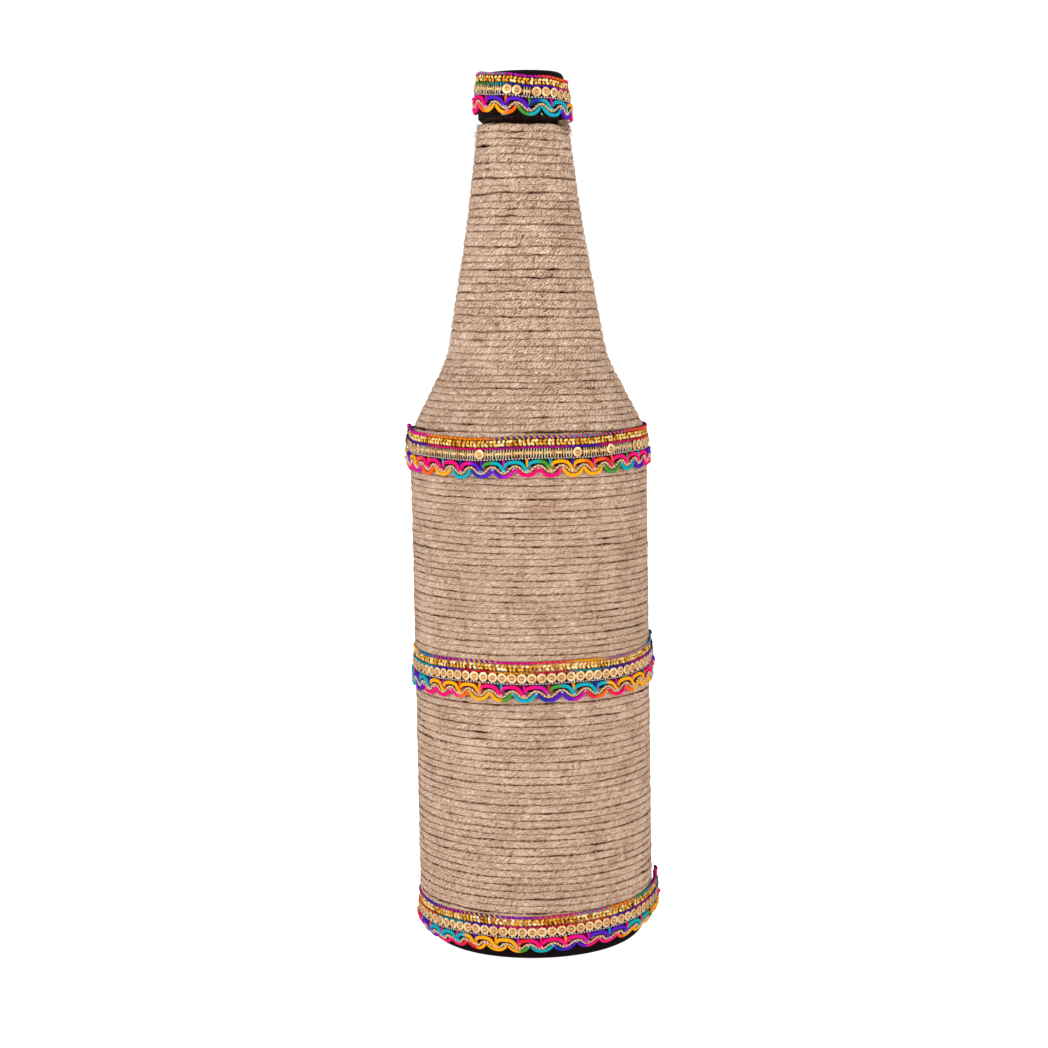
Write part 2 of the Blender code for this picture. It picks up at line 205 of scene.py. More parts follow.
class YarnMesh:
    """Gathers tubes and stamped copies into the one mesh of a piece."""

    def __init__(self, name: str) -> None:
        """Starts an empty mesh.

        Args:
            name: The piece's name.
        """
        self.name = name
        self.points: list[Array] = []
        self.dyes: list[Array] = []
        self.faces: list[Array] = []
        self.uvs: list[Array] = []
        self.count = 0

    def add(self, points: Array, faces: list[Array], uvs: list[Array], dye: Array) -> None:
        """Adds vertices and faces.

        Args:
            points: The vertices.
            faces: Arrays of faces, one for each number of corners.
            uvs: The UV of each corner of each face, array by array.
            dye: The colour of each vertex.
        """
        self.points.append(points)
        self.dyes.append(np.broadcast_to(dye, points.shape))
        self.faces += [rows + self.count for rows in faces]
        self.uvs += uvs
        self.count += len(points)

    def add_tube(self, line: Array, out: Array, section: Array, dye: Array = UNDYED,
                 shade: Array | float = 1.0) -> None:
        """Sweeps a section along a line and closes both ends.

        Args:
            line: The centre line's points.
            out: The direction off the surface at each point, or one for all.
            section: The (across, out) points, for all rings or for each.
            dye: The colour at each point, or one for all.
            shade: How much of its colour each point of each ring keeps, or each ring, or all.
        """
        rings, sides = len(line), section.shape[-2]
        ahead = unit(np.gradient(line, axis=0))
        out = np.broadcast_to(out, line.shape)
        out = unit(out - np.sum(out * ahead, axis=1, keepdims=True) * ahead)
        across = np.cross(ahead, out)
        section = np.broadcast_to(section, (rings, sides, 2))
        points = (line[:, None] + section[..., :1] * across[:, None] + section[..., 1:] * out[:, None])
        ring, side = np.meshgrid(np.arange(rings - 1), np.arange(sides), indexing="ij")
        after = (side + 1) % sides
        quads = np.stack((
            ring * sides + side,
            ring * sides + after,
            (ring + 1) * sides + after,
            (ring + 1) * sides + side,
        ), axis=-1).reshape(-1, 4)
        run = np.append(0.0, np.cumsum(np.linalg.norm(np.diff(line, axis=0), axis=1)))
        first = np.vstack((section[0], section[0, :1]))
        girth = np.append(0.0, np.cumsum(np.linalg.norm(np.diff(first, axis=0), axis=1)))
        u = np.stack((run[ring], run[ring], run[ring + 1], run[ring + 1]), axis=-1)
        v = np.stack((girth[side], girth[side + 1], girth[side + 1], girth[side]), axis=-1)
        start = np.arange(sides)[None, ::-1]
        end = np.arange(sides)[None] + (rings - 1) * sides
        flat = np.stack((np.zeros(sides), girth[:-1]), axis=-1)[None]
        dye = np.broadcast_to(dye, line.shape)[:, None] * np.broadcast_to(shade, (rings, sides))[..., None]
        uvs = [np.stack((u, v), axis=-1).reshape(-1, 4, 2), flat, flat + [run[-1], 0.0]]
        self.add(points.reshape(-1, 3), [quads, start, end], uvs, dye.reshape(-1, 3))

    def add_copies(self, stamp: Stamp, origins: Array, turns: Array, dye: Array = UNDYED) -> None:
        """Copies a stamp to each origin.

        Args:
            stamp: The small shape.
            origins: Where each copy's own origin goes.
            turns: A matrix for each copy, whose columns are its own axes.
            dye: The colour of each copy, or one for all.
        """
        copies, size = len(origins), len(stamp.points)
        points = np.einsum("kij,nj->kni", turns, stamp.points) + origins[:, None]
        faces, uvs = [], []
        for corners in stamp.faces:
            rows = np.array(corners)[None] + np.arange(copies)[:, None] * size
            faces.append(rows)
            uvs.append(np.broadcast_to(stamp.points[corners][None, :, :2], (*rows.shape, 2)))
        dye = np.broadcast_to(dye, origins.shape)[:, None] * stamp.tones[None, :, None]
        self.add(points.reshape(-1, 3), faces, uvs, dye.reshape(-1, 3))

    def piece(self) -> bpy.types.Object:
        """Makes the mesh an object with its UV map and its dye attribute, which also holds painted shade and
        glints.

        Returns:
            The object, at the origin.
        """
        points = np.vstack(self.points)
        corners = np.concatenate([rows.ravel() for rows in self.faces])
        totals = np.concatenate([np.full(len(rows), rows.shape[1]) for rows in self.faces])
        mesh = bpy.data.meshes.new(self.name)
        mesh.vertices.add(len(points))
        mesh.vertices.foreach_set("co", points.ravel())
        mesh.loops.add(len(corners))
        mesh.loops.foreach_set("vertex_index", corners)
        mesh.polygons.add(len(totals))
        mesh.polygons.foreach_set("loop_start", np.append(0, np.cumsum(totals)[:-1]))
        mesh.update(calc_edges=True)
        uv = np.concatenate([rows.reshape(-1, 2) for rows in self.uvs])
        mesh.uv_layers.new(name="run_and_girth").uv.foreach_set("vector", uv.ravel())
        dyes = np.hstack((np.vstack(self.dyes), np.ones((len(points), 1))))
        # The dye attribute is each point's dye times its painted shade; on the twine it is painted seam shade
        # alone, and on the gold it is painted shade and glints
        mesh.color_attributes.new("dye", "FLOAT_COLOR", "POINT").data.foreach_set("color", dyes.ravel())
        mesh.shade_smooth()
        piece = bpy.data.objects.new(self.name, mesh)
        bpy.context.scene.collection.objects.link(piece)
        return piece


class Finish:
    """A surface finish, made as a material the first time that a piece asks for it."""

    name = "finish"
    slot = "glass"

    def material(self) -> bpy.types.Material:
        """Gives the finish's material.

        Returns:
            The material, made now or before.
        """
        made = bpy.data.materials.get(self.name)
        if made:
            return made
        made = bpy.data.materials.new(self.name)
        made.use_nodes = True
        self.dress(made.node_tree, made.node_tree.nodes["Principled BSDF"])
        return made

    def dress(self, tree: bpy.types.NodeTree, shader: bpy.types.Node) -> None:
        """Sets the shader and links its patterns."""
        raise NotImplementedError


@dataclass(frozen=True)
class MouldedGlass(Finish):
    """Soda-lime glass, blown in a mould, dark enough to look black: a hard wet gloss with soft ripples."""

    colour: str = "#140A0B"
    refraction: float = 1.52
    smear: float = 3 * MM
    clean: float = 0.04
    smeared: float = 0.16
    ripple: float = 9 * MM
    relief: float = 0.3 * MM
    name = "blown_soda_lime_glass"
    slot = "glass"

    def dress(self, tree: bpy.types.NodeTree, shader: bpy.types.Node) -> None:
        """Sets a dark body colour, glass gloss, and a ripple from the mould.

        Args:
            tree: The material's nodes.
            shader: Its shader node.
        """
        place = add_node(tree, "TexCoord")
        smears = add_node(tree, "TexNoise", inputs={
            "Vector": place.outputs["Object"], "Scale": 1 / self.smear, "Detail": 4.0})
        gloss = add_node(tree, "MapRange", inputs={
            "Value": smears.outputs["Fac"],
            "From Min": 0.35, "From Max": 0.75, "To Min": self.clean, "To Max": self.smeared})
        waves = add_node(tree, "TexNoise", inputs={
            "Vector": place.outputs["Object"], "Scale": 1 / self.ripple, "Detail": 1.0})
        bump = add_node(tree, "Bump", inputs={
            "Height": waves.outputs["Fac"], "Distance": self.relief, "Strength": 0.5})
        feed(shader, {
            "Base Color": linear(self.colour), "IOR": self.refraction,
            "Roughness": gloss.outputs["Result"], "Normal": bump.outputs["Normal"]})


@dataclass(frozen=True)
class SpunJute(Finish):
    """Jute bast fibre, spun and plied: dry and matt, with pale and brown fibres that run at a slant."""

    # hollow is the colour of the deepest painted seam shade, and of the darkest fibres
    hollow: str = "#2C180A"
    shade: str = "#855D44"
    middle: str = "#B19379"
    pale: str = "#D3BFAB"
    lightest: str = "#E6DACC"
    rust: str = "#DCA272"
    lay_slope: float = 0.55
    fibre_width: float = 0.22 * MM
    fibre_length: float = 1.9 * MM
    speckle_size: float = 0.28 * MM
    dash_length: float = 1.2 * MM
    dash_height: float = 3 * MM
    batch_size: float = 9 * MM
    fleck_size: float = 0.8 * MM
    relief: float = 0.25 * MM
    name = "spun_jute_twine"
    slot = "jute"

    def dress(self, tree: bpy.types.NodeTree, shader: bpy.types.Node) -> None:
        """Draws slanted fibres and flecks from the UV map, and paints shade into the hollows between rows.

        Args:
            tree: The material's nodes.
            shader: Its shader node.
        """
        uv = add_node(tree, "UVMap", {"uv_map": "run_and_girth"})
        split = add_node(tree, "SeparateXYZ", inputs={"Vector": uv.outputs["UV"]})
        slant = add_node(tree, "Math", {"operation": "MULTIPLY_ADD"}, {
            0: split.outputs["X"], 1: self.lay_slope, 2: split.outputs["Y"]})
        laid = add_node(tree, "CombineXYZ", inputs={
            "X": split.outputs["X"], "Y": slant.outputs["Value"]})
        fibre_axes = add_node(tree, "VectorMath", {"operation": "MULTIPLY"}, {
            0: laid.outputs["Vector"], 1: (1 / self.fibre_length, 1 / self.fibre_width, 1.0)})
        fibres = add_node(tree, "TexNoise", inputs={
            "Vector": fibre_axes.outputs["Vector"], "Scale": 1.0, "Detail": 4.0, "Roughness": 0.7})
        # Single fibres are finer than a render shows, so this speckle is drawn about three times as coarse
        speckle = add_node(tree, "TexNoise", inputs={
            "Vector": uv.outputs["UV"], "Scale": 1 / self.speckle_size, "Detail": 1.0, "Roughness": 0.8})
        place = add_node(tree, "TexCoord")
        batch = add_node(tree, "TexNoise", inputs={
            "Vector": place.outputs["Object"], "Scale": 1 / self.batch_size, "Detail": 3.0})
        blend = add_node(tree, "Math", {"operation": "MULTIPLY_ADD"}, {
            0: speckle.outputs["Fac"], 1: 0.8, 2: fibres.outputs["Fac"]})
        tone = add_node(tree, "Math", {"operation": "MULTIPLY_ADD"}, {
            0: batch.outputs["Fac"], 1: 0.14, 2: blend.outputs["Value"]})
        level = add_node(tree, "MapRange", inputs={
            "Value": tone.outputs["Value"], "From Min": 0.79, "From Max": 1.17})
        depth = add_node(tree, "Attribute", {"attribute_name": "dye"})
        # The dye attribute holds the painted seam shade. Each row touches the next only here and there, so
        # the painted shade line between them is broken
        dash_axes = add_node(tree, "VectorMath", {"operation": "MULTIPLY"}, {
            0: uv.outputs["UV"], 1: (1 / self.dash_length, 1 / self.dash_height, 1.0)})
        dashes = add_node(tree, "TexNoise", inputs={
            "Vector": dash_axes.outputs["Vector"], "Scale": 1.0, "Detail": 2.0, "Roughness": 0.6})
        touching = add_node(tree, "MapRange", inputs={
            "Value": dashes.outputs["Fac"], "From Min": 0.48, "From Max": 0.54, "To Min": 0.0, "To Max": 0.8})
        shown = add_node(tree, "Math", {"operation": "MAXIMUM"}, {
            0: depth.outputs["Fac"], 1: touching.outputs["Result"]})
        lit = add_node(tree, "Math", {"operation": "MULTIPLY"}, {
            0: level.outputs["Result"], 1: shown.outputs["Value"]})
        colour = add_node(tree, "ValToRGB", inputs={"Fac": lit.outputs["Value"]}, stops=[
            (0.0, self.hollow), (0.24, self.shade), (0.48, self.middle), (0.74, self.pale),
            (1.0, self.lightest)])
        flecks = add_node(tree, "TexNoise", inputs={
            "Vector": uv.outputs["UV"], "Scale": 1 / self.fleck_size, "Detail": 2.0, "Roughness": 0.7})
        stain = add_node(tree, "ValToRGB", inputs={"Fac": flecks.outputs["Fac"]}, stops=[
            (0.34, "#FFF6F3"), (0.54, "#FFFFFF"), (0.66, "#F6E2CC"), (0.76, self.rust)])
        stained = add_node(tree, "VectorMath", {"operation": "MULTIPLY"}, {
            0: colour.outputs["Color"], 1: stain.outputs["Color"]})
        bump = add_node(tree, "Bump", inputs={
            "Height": blend.outputs["Value"], "Distance": self.relief, "Strength": 0.7})
        feed(shader, {
            "Base Color": stained.outputs["Vector"], "Roughness": 0.95, "Specular IOR Level": 0.12,
            "Normal": bump.outputs["Normal"]})


@dataclass(frozen=True)
class DyedYarn(Finish):
    """Polyester yarn in its own dyes: a soft sheen, and fine filaments along it."""

    name: str = "space_dyed_polyester_thread"
    slot: str = "dyed_cord"
    roughness: float = 0.55
    filament: float = 0.16 * MM
    relief: float = 0.10 * MM
    gloss: float = 0.12

    def dress(self, tree: bpy.types.NodeTree, shader: bpy.types.Node) -> None:
        """Takes the colour from the dye attribute, and shades it with its filaments.

        Args:
            tree: The material's nodes.
            shader: Its shader node.
        """
        dye = add_node(tree, "Attribute", {"attribute_name": "dye"})
        uv = add_node(tree, "UVMap", {"uv_map": "run_and_girth"})
        axes = add_node(tree, "VectorMath", {"operation": "MULTIPLY"}, {
            0: uv.outputs["UV"], 1: (1 / self.filament, 0.35 / self.filament, 1.0)})
        filaments = add_node(tree, "TexNoise", inputs={
            "Vector": axes.outputs["Vector"], "Scale": 1.0, "Detail": 3.0})
        depth = add_node(tree, "MapRange", inputs={
            "Value": filaments.outputs["Fac"],
            "From Min": 0.3, "From Max": 0.7, "To Min": 0.62, "To Max": 1.08})
        colour = add_node(tree, "VectorMath", {"operation": "MULTIPLY"}, {
            0: dye.outputs["Color"], 1: depth.outputs["Result"]})
        bump = add_node(tree, "Bump", inputs={
            "Height": filaments.outputs["Fac"], "Distance": self.relief, "Strength": 0.7})
        feed(shader, {
            "Base Color": colour.outputs["Vector"], "Roughness": self.roughness,
            "Specular IOR Level": self.gloss, "Normal": bump.outputs["Normal"]})


@dataclass(frozen=True)
class MetalFilm(Finish):
    """Metallised polyester film, cut in strips or pressed: it glints, and crinkles at a fine scale."""

    name: str = "zari_metallised_film"
    slot: str = "gold_zari"
    # deep is the painted shade colour, and glint the painted highlight colour
    deep: str = "#4C1A06"
    dark: str = "#BC6202"
    bright: str = "#FFC230"
    glint: str = "#FFF2C0"
    roughness: float = 0.28
    crinkle: float = 0.35 * MM
    relief: float = 0.14 * MM
    metallic: float = 0.30

    def dress(self, tree: bpy.types.NodeTree, shader: bpy.types.Node) -> None:
        """Runs from painted brown shade to painted pale glints by the dye's level and a fine crinkle.

        Args:
            tree: The material's nodes.
            shader: Its shader node.
        """
        place = add_node(tree, "TexCoord")
        crinkles = add_node(tree, "TexNoise", inputs={
            "Vector": place.outputs["Object"], "Scale": 1 / self.crinkle, "Detail": 2.0})
        folds = add_node(tree, "MapRange", inputs={
            "Value": crinkles.outputs["Fac"],
            "From Min": 0.35, "From Max": 0.65, "To Min": 0.46, "To Max": 0.80})
        # The dye attribute carries each piece's painted shade and glints
        tint = add_node(tree, "Attribute", {"attribute_name": "dye"})
        level = add_node(tree, "Math", {"operation": "MULTIPLY"}, {
            0: folds.outputs["Result"], 1: tint.outputs["Fac"]})
        gold = add_node(tree, "ValToRGB", inputs={"Fac": level.outputs["Value"]}, stops=[
            (0.0, self.deep), (0.34, self.dark), (0.68, self.bright), (1.0, self.glint)])
        bump = add_node(tree, "Bump", inputs={
            "Height": crinkles.outputs["Fac"], "Distance": self.relief, "Strength": 0.8})
        feed(shader, {
            "Base Color": gold.outputs["Color"], "Metallic": self.metallic,
            "Roughness": self.roughness, "Normal": bump.outputs["Normal"]})


ZARI = MetalFilm()
WAVE_GOLD = MetalFilm("gold_purl_thread", "gold_zari", "#4A2410", "#B06E34", "#F0C488", "#FFF6E2",
                      0.34, 0.30 * MM, 0.08 * MM)
CHAIN_GOLD = MetalFilm("gold_chain_thread", "gold_zari", "#30160A", "#A06A2C", "#F4CC84", "#FFF2D0",
                       0.38, 0.40 * MM, 0.06 * MM)
SEQUIN_FILM = MetalFilm("pressed_sequin_film", "gold_sequin", "#5A3018", "#C4844C", "#F0BE80", "#FFE6BA",
                        0.36, 2.0 * MM, 0.02 * MM)
THREAD = DyedYarn()
SATIN = DyedYarn("rayon_satin_cord", "satin_cord", 0.36, 0.22 * MM, 0.05 * MM, 0.11)
NET_TAPE = DyedYarn("woven_net_tape", "ground_tape", 0.8, 0.30 * MM, 0.20 * MM)
SILVER_YARN = DyedYarn("silver_metallised_thread", "silver_cord", 0.30, 0.20 * MM, 0.06 * MM)
GLASS = MouldedGlass()
JUTE = SpunJute()


def settle(piece: bpy.types.Object, finish: Finish, *stands_for: str) -> bpy.types.Object:
    """Dresses a finished piece, ties it to the body and reports it.

    Args:
        piece: The piece, in place.
        finish: Its finish.
        stands_for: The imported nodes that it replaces.

    Returns:
        The same piece.
    """
    piece.data.materials.clear()
    piece.data.materials.append(finish.material())
    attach(piece, BODY)
    if stands_for:
        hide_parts(*stands_for)
    LOG.info("%s: %d faces, %s", piece.name, len(piece.data.polygons), finish.name)
    return piece


def rounded(corners: list[tuple[float, float, float, int]]) -> Outline:
    """Draws the outline through corners, each round as an arc.

    Args:
        corners: Radius, height, round and number of steps of each corner.

    Returns:
        The outline's points, as radius and height.
    """
    outline: Outline = []
    for i, (r, z, radius, steps) in enumerate(corners):
        if not radius:
            outline.append((r, z))
            continue
        corner = np.array((r, z))
        back = unit(np.array(corners[i - 1][:2]) - corner)
        ahead = unit(np.array(corners[i + 1][:2]) - corner)
        half = math.acos(float(back @ ahead)) / 2
        inward = unit(back + ahead)
        across = unit(ahead - back)
        centre = corner + inward * radius / math.sin(half)
        for step in range(steps + 1):
            turn = (math.pi / 2 - half) * (2 * step / steps - 1)
            point = centre + radius * (math.sin(turn) * across - math.cos(turn) * inward)
            outline.append((float(point[0]), float(point[1])))
    return outline


@dataclass
class Bottle:
    """The blown glass bottle, turned about its axis."""

    body_height: float = 165.0 * MM
    shoulder_rise: float = 24.2 * MM
    neck_rise: float = 74.2 * MM
    body_radius: float = 36.0 * MM
    neck_foot_radius: float = 23.6 * MM
    neck_bend_radius: float = 16.3 * MM
    neck_bend_drop: float = 31.0 * MM
    neck_top_radius: float = 12.3 * MM
    shoulder_round: float = 22.0 * MM
    neck_round: float = 30.0 * MM
    neck_bend_round: float = 300.0 * MM
    heel_round: float = 6.0 * MM
    wall: float = 3.0 * MM
    base_thickness: float = 5.0 * MM
    inner_heel_round: float = 7.0 * MM
    bearing_width: float = 2.4 * MM
    push_up_rise: float = 4.0 * MM
    bore_radius: float = 8.3 * MM
    bore_edge_round: float = 1.0 * MM
    bore_blend: float = 4.0 * MM
    lip_round: float = 2.2 * MM
    locking_ring_radius: float = 13.3 * MM
    locking_ring_height: float = 5.0 * MM
    ring_taper: float = 1.0 * MM
    undercut_radius: float = 12.5 * MM
    undercut_height: float = 1.6 * MM
    neck_ring_radius: float = 14.2 * MM
    neck_ring_taper: float = 1.6 * MM
    edge_softness: float = 0.35 * MM
    turn_steps: int = 160

    @property
    def lip_height(self) -> float:
        """The lip's height, from the frame."""
        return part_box("glass_bottle")[1].z

    @property
    def shoulder_top(self) -> float:
        """Where the shoulder meets the neck."""
        return self.body_height + self.shoulder_rise

    @property
    def neck_top(self) -> float:
        """Where the neck meets the finish."""
        return self.shoulder_top + self.neck_rise

    def outside(self) -> list[tuple[float, float, float, int]]:
        """The corners from under the neck ring to the bearing ring.

        Returns:
            Radius, height, round and number of steps of each corner.
        """
        return [
            (self.neck_top_radius, self.neck_top, 0, 0),
            (self.neck_bend_radius, self.neck_top - self.neck_bend_drop, self.neck_bend_round, 8),
            (self.neck_foot_radius, self.shoulder_top, self.neck_round, 10),
            (self.body_radius, self.body_height, self.shoulder_round, 12),
            (self.body_radius, 0, self.heel_round, 8),
            (self.body_radius - self.heel_round - self.bearing_width, 0, 0, 0),
        ]

    def finish(self) -> list[tuple[float, float, float, int]]:
        """The corners of lip, locking ring, undercut and neck ring.

        Returns:
            Radius, height, round and number of steps of each corner.
        """
        ring_foot = self.lip_height - self.locking_ring_height
        undercut_top = ring_foot - self.ring_taper
        undercut_foot = undercut_top - self.undercut_height
        soft = self.edge_softness
        return [
            (self.locking_ring_radius, self.lip_height, self.lip_round, 8),
            (self.locking_ring_radius, ring_foot, soft, 3),
            (self.undercut_radius, undercut_top, soft, 3),
            (self.undercut_radius, undercut_foot, soft, 3),
            (self.neck_ring_radius, undercut_foot - self.ring_taper, soft, 3),
            (self.neck_ring_radius, self.neck_top + self.neck_ring_taper, soft, 3),
        ]

    def inside(self) -> list[tuple[float, float, float, int]]:
        """The corners from the middle of the floor up to the lip.

        Returns:
            Radius, height, round and number of steps of each corner.
        """
        floor = self.base_thickness
        inner = self.body_radius - self.wall
        return [
            (0, floor + self.push_up_rise, 0, 0),
            (inner - self.inner_heel_round, floor, 0, 0),
            (inner, floor, self.inner_heel_round, 6),
            (inner, self.body_height, self.shoulder_round, 8),
            (self.neck_foot_radius - self.wall, self.shoulder_top, self.neck_round, 6),
            (self.neck_bend_radius - self.wall, self.neck_top - self.neck_bend_drop, self.neck_bend_round, 6),
            (self.neck_top_radius - self.wall, self.neck_top - self.bore_blend, 0, 0),
            (self.bore_radius, self.neck_top, 0, 0),
            (self.bore_radius, self.lip_height, self.bore_edge_round, 6),
        ]

    def push_up(self) -> Outline:
        """The hollow under the foot, from inside the bearing ring to the axis.

        Returns:
            The outline's points.
        """
        edge = self.body_radius - self.heel_round - self.bearing_width
        shares = (5 / 6, 2 / 3, 1 / 2, 1 / 3, 0)
        return [(edge * share, self.push_up_rise * (1 - share * share)) for share in shares]

    def build(self) -> None:
        """Extrudes the section point by point and spins it."""
        outline = rounded(self.inside() + self.finish() + self.outside()) + self.push_up()
        bpy.ops.object.select_all(action="DESELECT")
        bpy.ops.mesh.primitive_plane_add(size=MM, location=(0, 0, 0))
        piece = bpy.context.object
        piece.name = "bottle_glass"
        bpy.ops.object.mode_set(mode="EDIT")
        bpy.ops.mesh.select_all(action="SELECT")
        bpy.ops.mesh.merge(type="CENTER")
        bpy.ops.transform.translate(value=(outline[0][0], 0, outline[0][1]))
        for (r0, z0), (r1, z1) in zip(outline, outline[1:]):
            bpy.ops.mesh.extrude_vertices_move(TRANSFORM_OT_translate={"value": (r1 - r0, 0, z1 - z0)})
        bpy.ops.mesh.select_all(action="SELECT")
        bpy.ops.mesh.spin(steps=self.turn_steps, angle=math.tau, center=(0, 0, 0), axis=(0, 0, 1))
        bpy.ops.mesh.select_all(action="SELECT")
        bpy.ops.mesh.remove_doubles(threshold=0.01 * MM)
        bpy.ops.mesh.normals_make_consistent(inside=False)
        bpy.ops.object.mode_set(mode="OBJECT")
        piece.data.shade_smooth()
        settle(piece, GLASS, "glass_bottle")


class WoundPath:
    """The line down the glass that the twine climbs along, from under the neck ring."""

    def __init__(self, bottle: Bottle) -> None:
        """Measures the bottle's outside.

        Args:
            bottle: The bottle that is wound.
        """
        self.points = np.array(rounded(bottle.outside()))
        steps = np.diff(self.points, axis=0)
        self.along = np.append(0.0, np.cumsum(np.linalg.norm(steps, axis=1)))
        slopes = unit(np.stack((-steps[:, 1], steps[:, 0]), axis=1))
        self.normals = unit(np.vstack((slopes[:1], slopes[:-1] + slopes[1:], slopes[-1:])))

    def place(self, s: Array, off: Array) -> Array:
        """Finds points on the path.

        Args:
            s: How far along it they are.
            off: How far off the glass they are.

        Returns:
            The points, as (radius, height).
        """
        normal = self.normal(s)
        point = np.stack([np.interp(s, self.along, self.points[:, k]) for k in (0, 1)], axis=1)
        return point + normal * np.broadcast_to(off, s.shape)[:, None]

    def normal(self, s: Array) -> Array:
        """The outward directions at s along the path, as (radius, height)."""
        return unit(np.stack([np.interp(s, self.along, self.normals[:, k]) for k in (0, 1)], axis=1))

    def at_height(self, height: float) -> float:
        """How far along the path the glass reaches a height."""
        return float(np.interp(-height, -self.points[:, 1], self.along))


def turned(points: Array, bearing: Array) -> Array:
    """Turns (radius, height) points or directions about the axis, to their bearings."""
    return np.stack((points[:, 0] * np.sin(bearing), -points[:, 0] * np.cos(bearing), points[:, 1]), axis=1)


@dataclass(frozen=True)
class Stretch:
    """How the twine lies on one part of the bottle."""

    name: str
    pitch: float
    segments: int
    squareness: float
    overlap: float
    # seam_shadow and faintness set the width and the faintness of the painted shade along the seams
    seam_shadow: float
    faintness: float
    waver: float


@dataclass
class TwineWinding:
    """One length of jute twine, wound turn against turn from the neck ring to the heel."""

    path: WoundPath
    bottle: Bottle
    shoulder_split: float
    waist_split: float
    diameter: float = 2.2 * MM
    parts: tuple[Stretch, ...] = (
        Stretch("neck_twine", 2.42 * MM, 112, 2.4, 1.17, 0.36 * MM, 0.66, 3.4),
        Stretch("upper_twine", 2.12 * MM, 176, 3.6, 1.22, 0.30 * MM, 0.12, 1.9),
        Stretch("lower_twine", 2.28 * MM, 176, 3.6, 1.20, 0.32 * MM, 0.10, 2.0),
    )
    start_drop: float = 0.2 * MM
    end_height: float = 6.8 * MM
    start_bearing: float = math.radians(60)
    lay: float = 12.5 * MM
    ply_relief: float = 0.055
    section_degrees: tuple[float, ...] = (0, 25, 37, 46, 60, 84, 110, 180, 250, 276, 300, 314, 323, 335)
    drift: float = 0.22 * MM
    thickening: float = 0.14 * MM
    gap_share: float = 0.52
    gap_rarity: float = 0.45
    start_taper: float = 0.45
    fibre_radius: float = 0.04 * MM
    stray_fibres: int = 2600
    # Each tuft's place, number of fibres and spread, in turns
    tufts: tuple[tuple[float, int, float], ...] = ((0.01, 220, 0.045), (0.56, 30, 0.03), (49.58, 14, 0.005))
    stretches: list[tuple[float, float]] = field(default_factory=list)

    def __post_init__(self) -> None:
        """Works out the count of turns reached at each change of pitch."""
        ends = [
            self.path.at_height(self.bottle.neck_top - self.start_drop),
            self.path.at_height(self.shoulder_split),
            self.path.at_height(self.waist_split),
            self.path.at_height(self.end_height),
        ]
        turns = 0.0
        self.stretches = [(0.0, ends[0])]
        for start, end, part in zip(ends, ends[1:], self.parts):
            turns += (end - start) / part.pitch
            self.stretches.append((turns, end))

    def along(self, turn: Array) -> Array:
        """How far down the path the twine is after a count of turns."""
        turns, ends = zip(*self.stretches)
        return np.interp(turn, turns, ends)

    def here(self, turn: Array, values: list[float]) -> Array:
        """Gives each count of turns the value of its stretch, of one value a stretch."""
        turns = [turns for turns, _ in self.stretches]
        return np.array(values)[np.clip(np.searchsorted(turns, turn) - 1, 0, len(values) - 1)]

    def rows(self, turn: Array) -> Array:
        """Lays the rows with a hand's wander: they drift together, thicken and thin, and waver one by one.

        Args:
            turn: Counts of turns.

        Returns:
            How far down the path the twine lies at each.
        """
        bearing = turn * math.tau
        together = (wander(turn, 3.1, 11) * np.cos(bearing) + wander(turn, 2.7, 12) * np.sin(bearing)
                    + wander(turn, 2.3, 13) * np.cos(2 * bearing + 1.0)) * self.drift
        thickness = wander(turn, 0.9, 16) * self.thickening
        own = wander(turn, 0.047, 14) * 0.06 * MM + wander(turn, 0.19, 15) * 0.07 * MM
        waver = self.here(turn, [part.waver for part in self.parts])
        return self.along(turn) + together + thickness + own * waver

    def winding(self, part: Stretch, first: float, last: float) -> YarnMesh:
        """Sweeps the plied twine from one count of turns to another.

        Args:
            part: How it lies there.
            first: The count of turns that it starts at.
            last: The count of turns that it ends at.

        Returns:
            The piece's mesh.
        """
        whole = self.stretches[-1][0]
        everywhere = np.linspace(0.0, whole, int(whole * part.segments))
        rows = self.rows(everywhere)
        turn = np.linspace(first, last, int((last - first) * part.segments))
        s = np.interp(turn, everywhere, rows)
        above = np.interp(turn - 1, everywhere, rows, left=np.nan)
        below = np.interp(turn + 1, everywhere, rows, right=np.nan)
        room = np.nanmean(np.stack((s - above, below - s)), axis=0)
        thin = wander(everywhere, 0.035, 22) + 0.6 * wander(everywhere, 0.011, 24) - self.gap_rarity
        slub = wander(everywhere, 0.031, 21) * 0.045 + wander(everywhere, 0.009, 25) * 0.03
        swell = np.interp(turn, everywhere, slub - np.clip(thin, 0, 1) * self.gap_share)
        height = np.interp(turn, everywhere, wander(everywhere, 0.05, 23))
        half = np.clip(room / 2, 0.36 * part.pitch, 0.62 * part.pitch)
        seam = half * np.minimum(1.0, part.overlap - 0.02 + swell)
        bearing = self.start_bearing + turn * math.tau
        worked = 1 - self.start_taper * np.exp(-turn / 0.02)
        half = half * (part.overlap + swell) * worked
        off = self.diameter / 2 * (1 + 0.06 * height) * worked
        line = turned(self.path.place(s, off), bearing)
        out = turned(self.path.normal(s), bearing)
        run = np.append(0.0, np.cumsum(np.linalg.norm(np.diff(line, axis=0), axis=1)))
        angle = np.radians(self.section_degrees)
        ply = 1 + self.ply_relief * np.cos(2 * (angle[None] + math.tau * run[:, None] / self.lay))
        random = np.random.default_rng(31)
        lumps = 1 + random.normal(0, 0.020, ply.shape)
        base = np.stack([np.sign(wave) * np.abs(wave) ** (2 / part.squareness)
                         for wave in (np.sin(angle), np.cos(angle))], axis=1)
        size = np.stack((half, off), axis=1)
        section = base[None] * size[:, None] * (ply * lumps)[..., None]
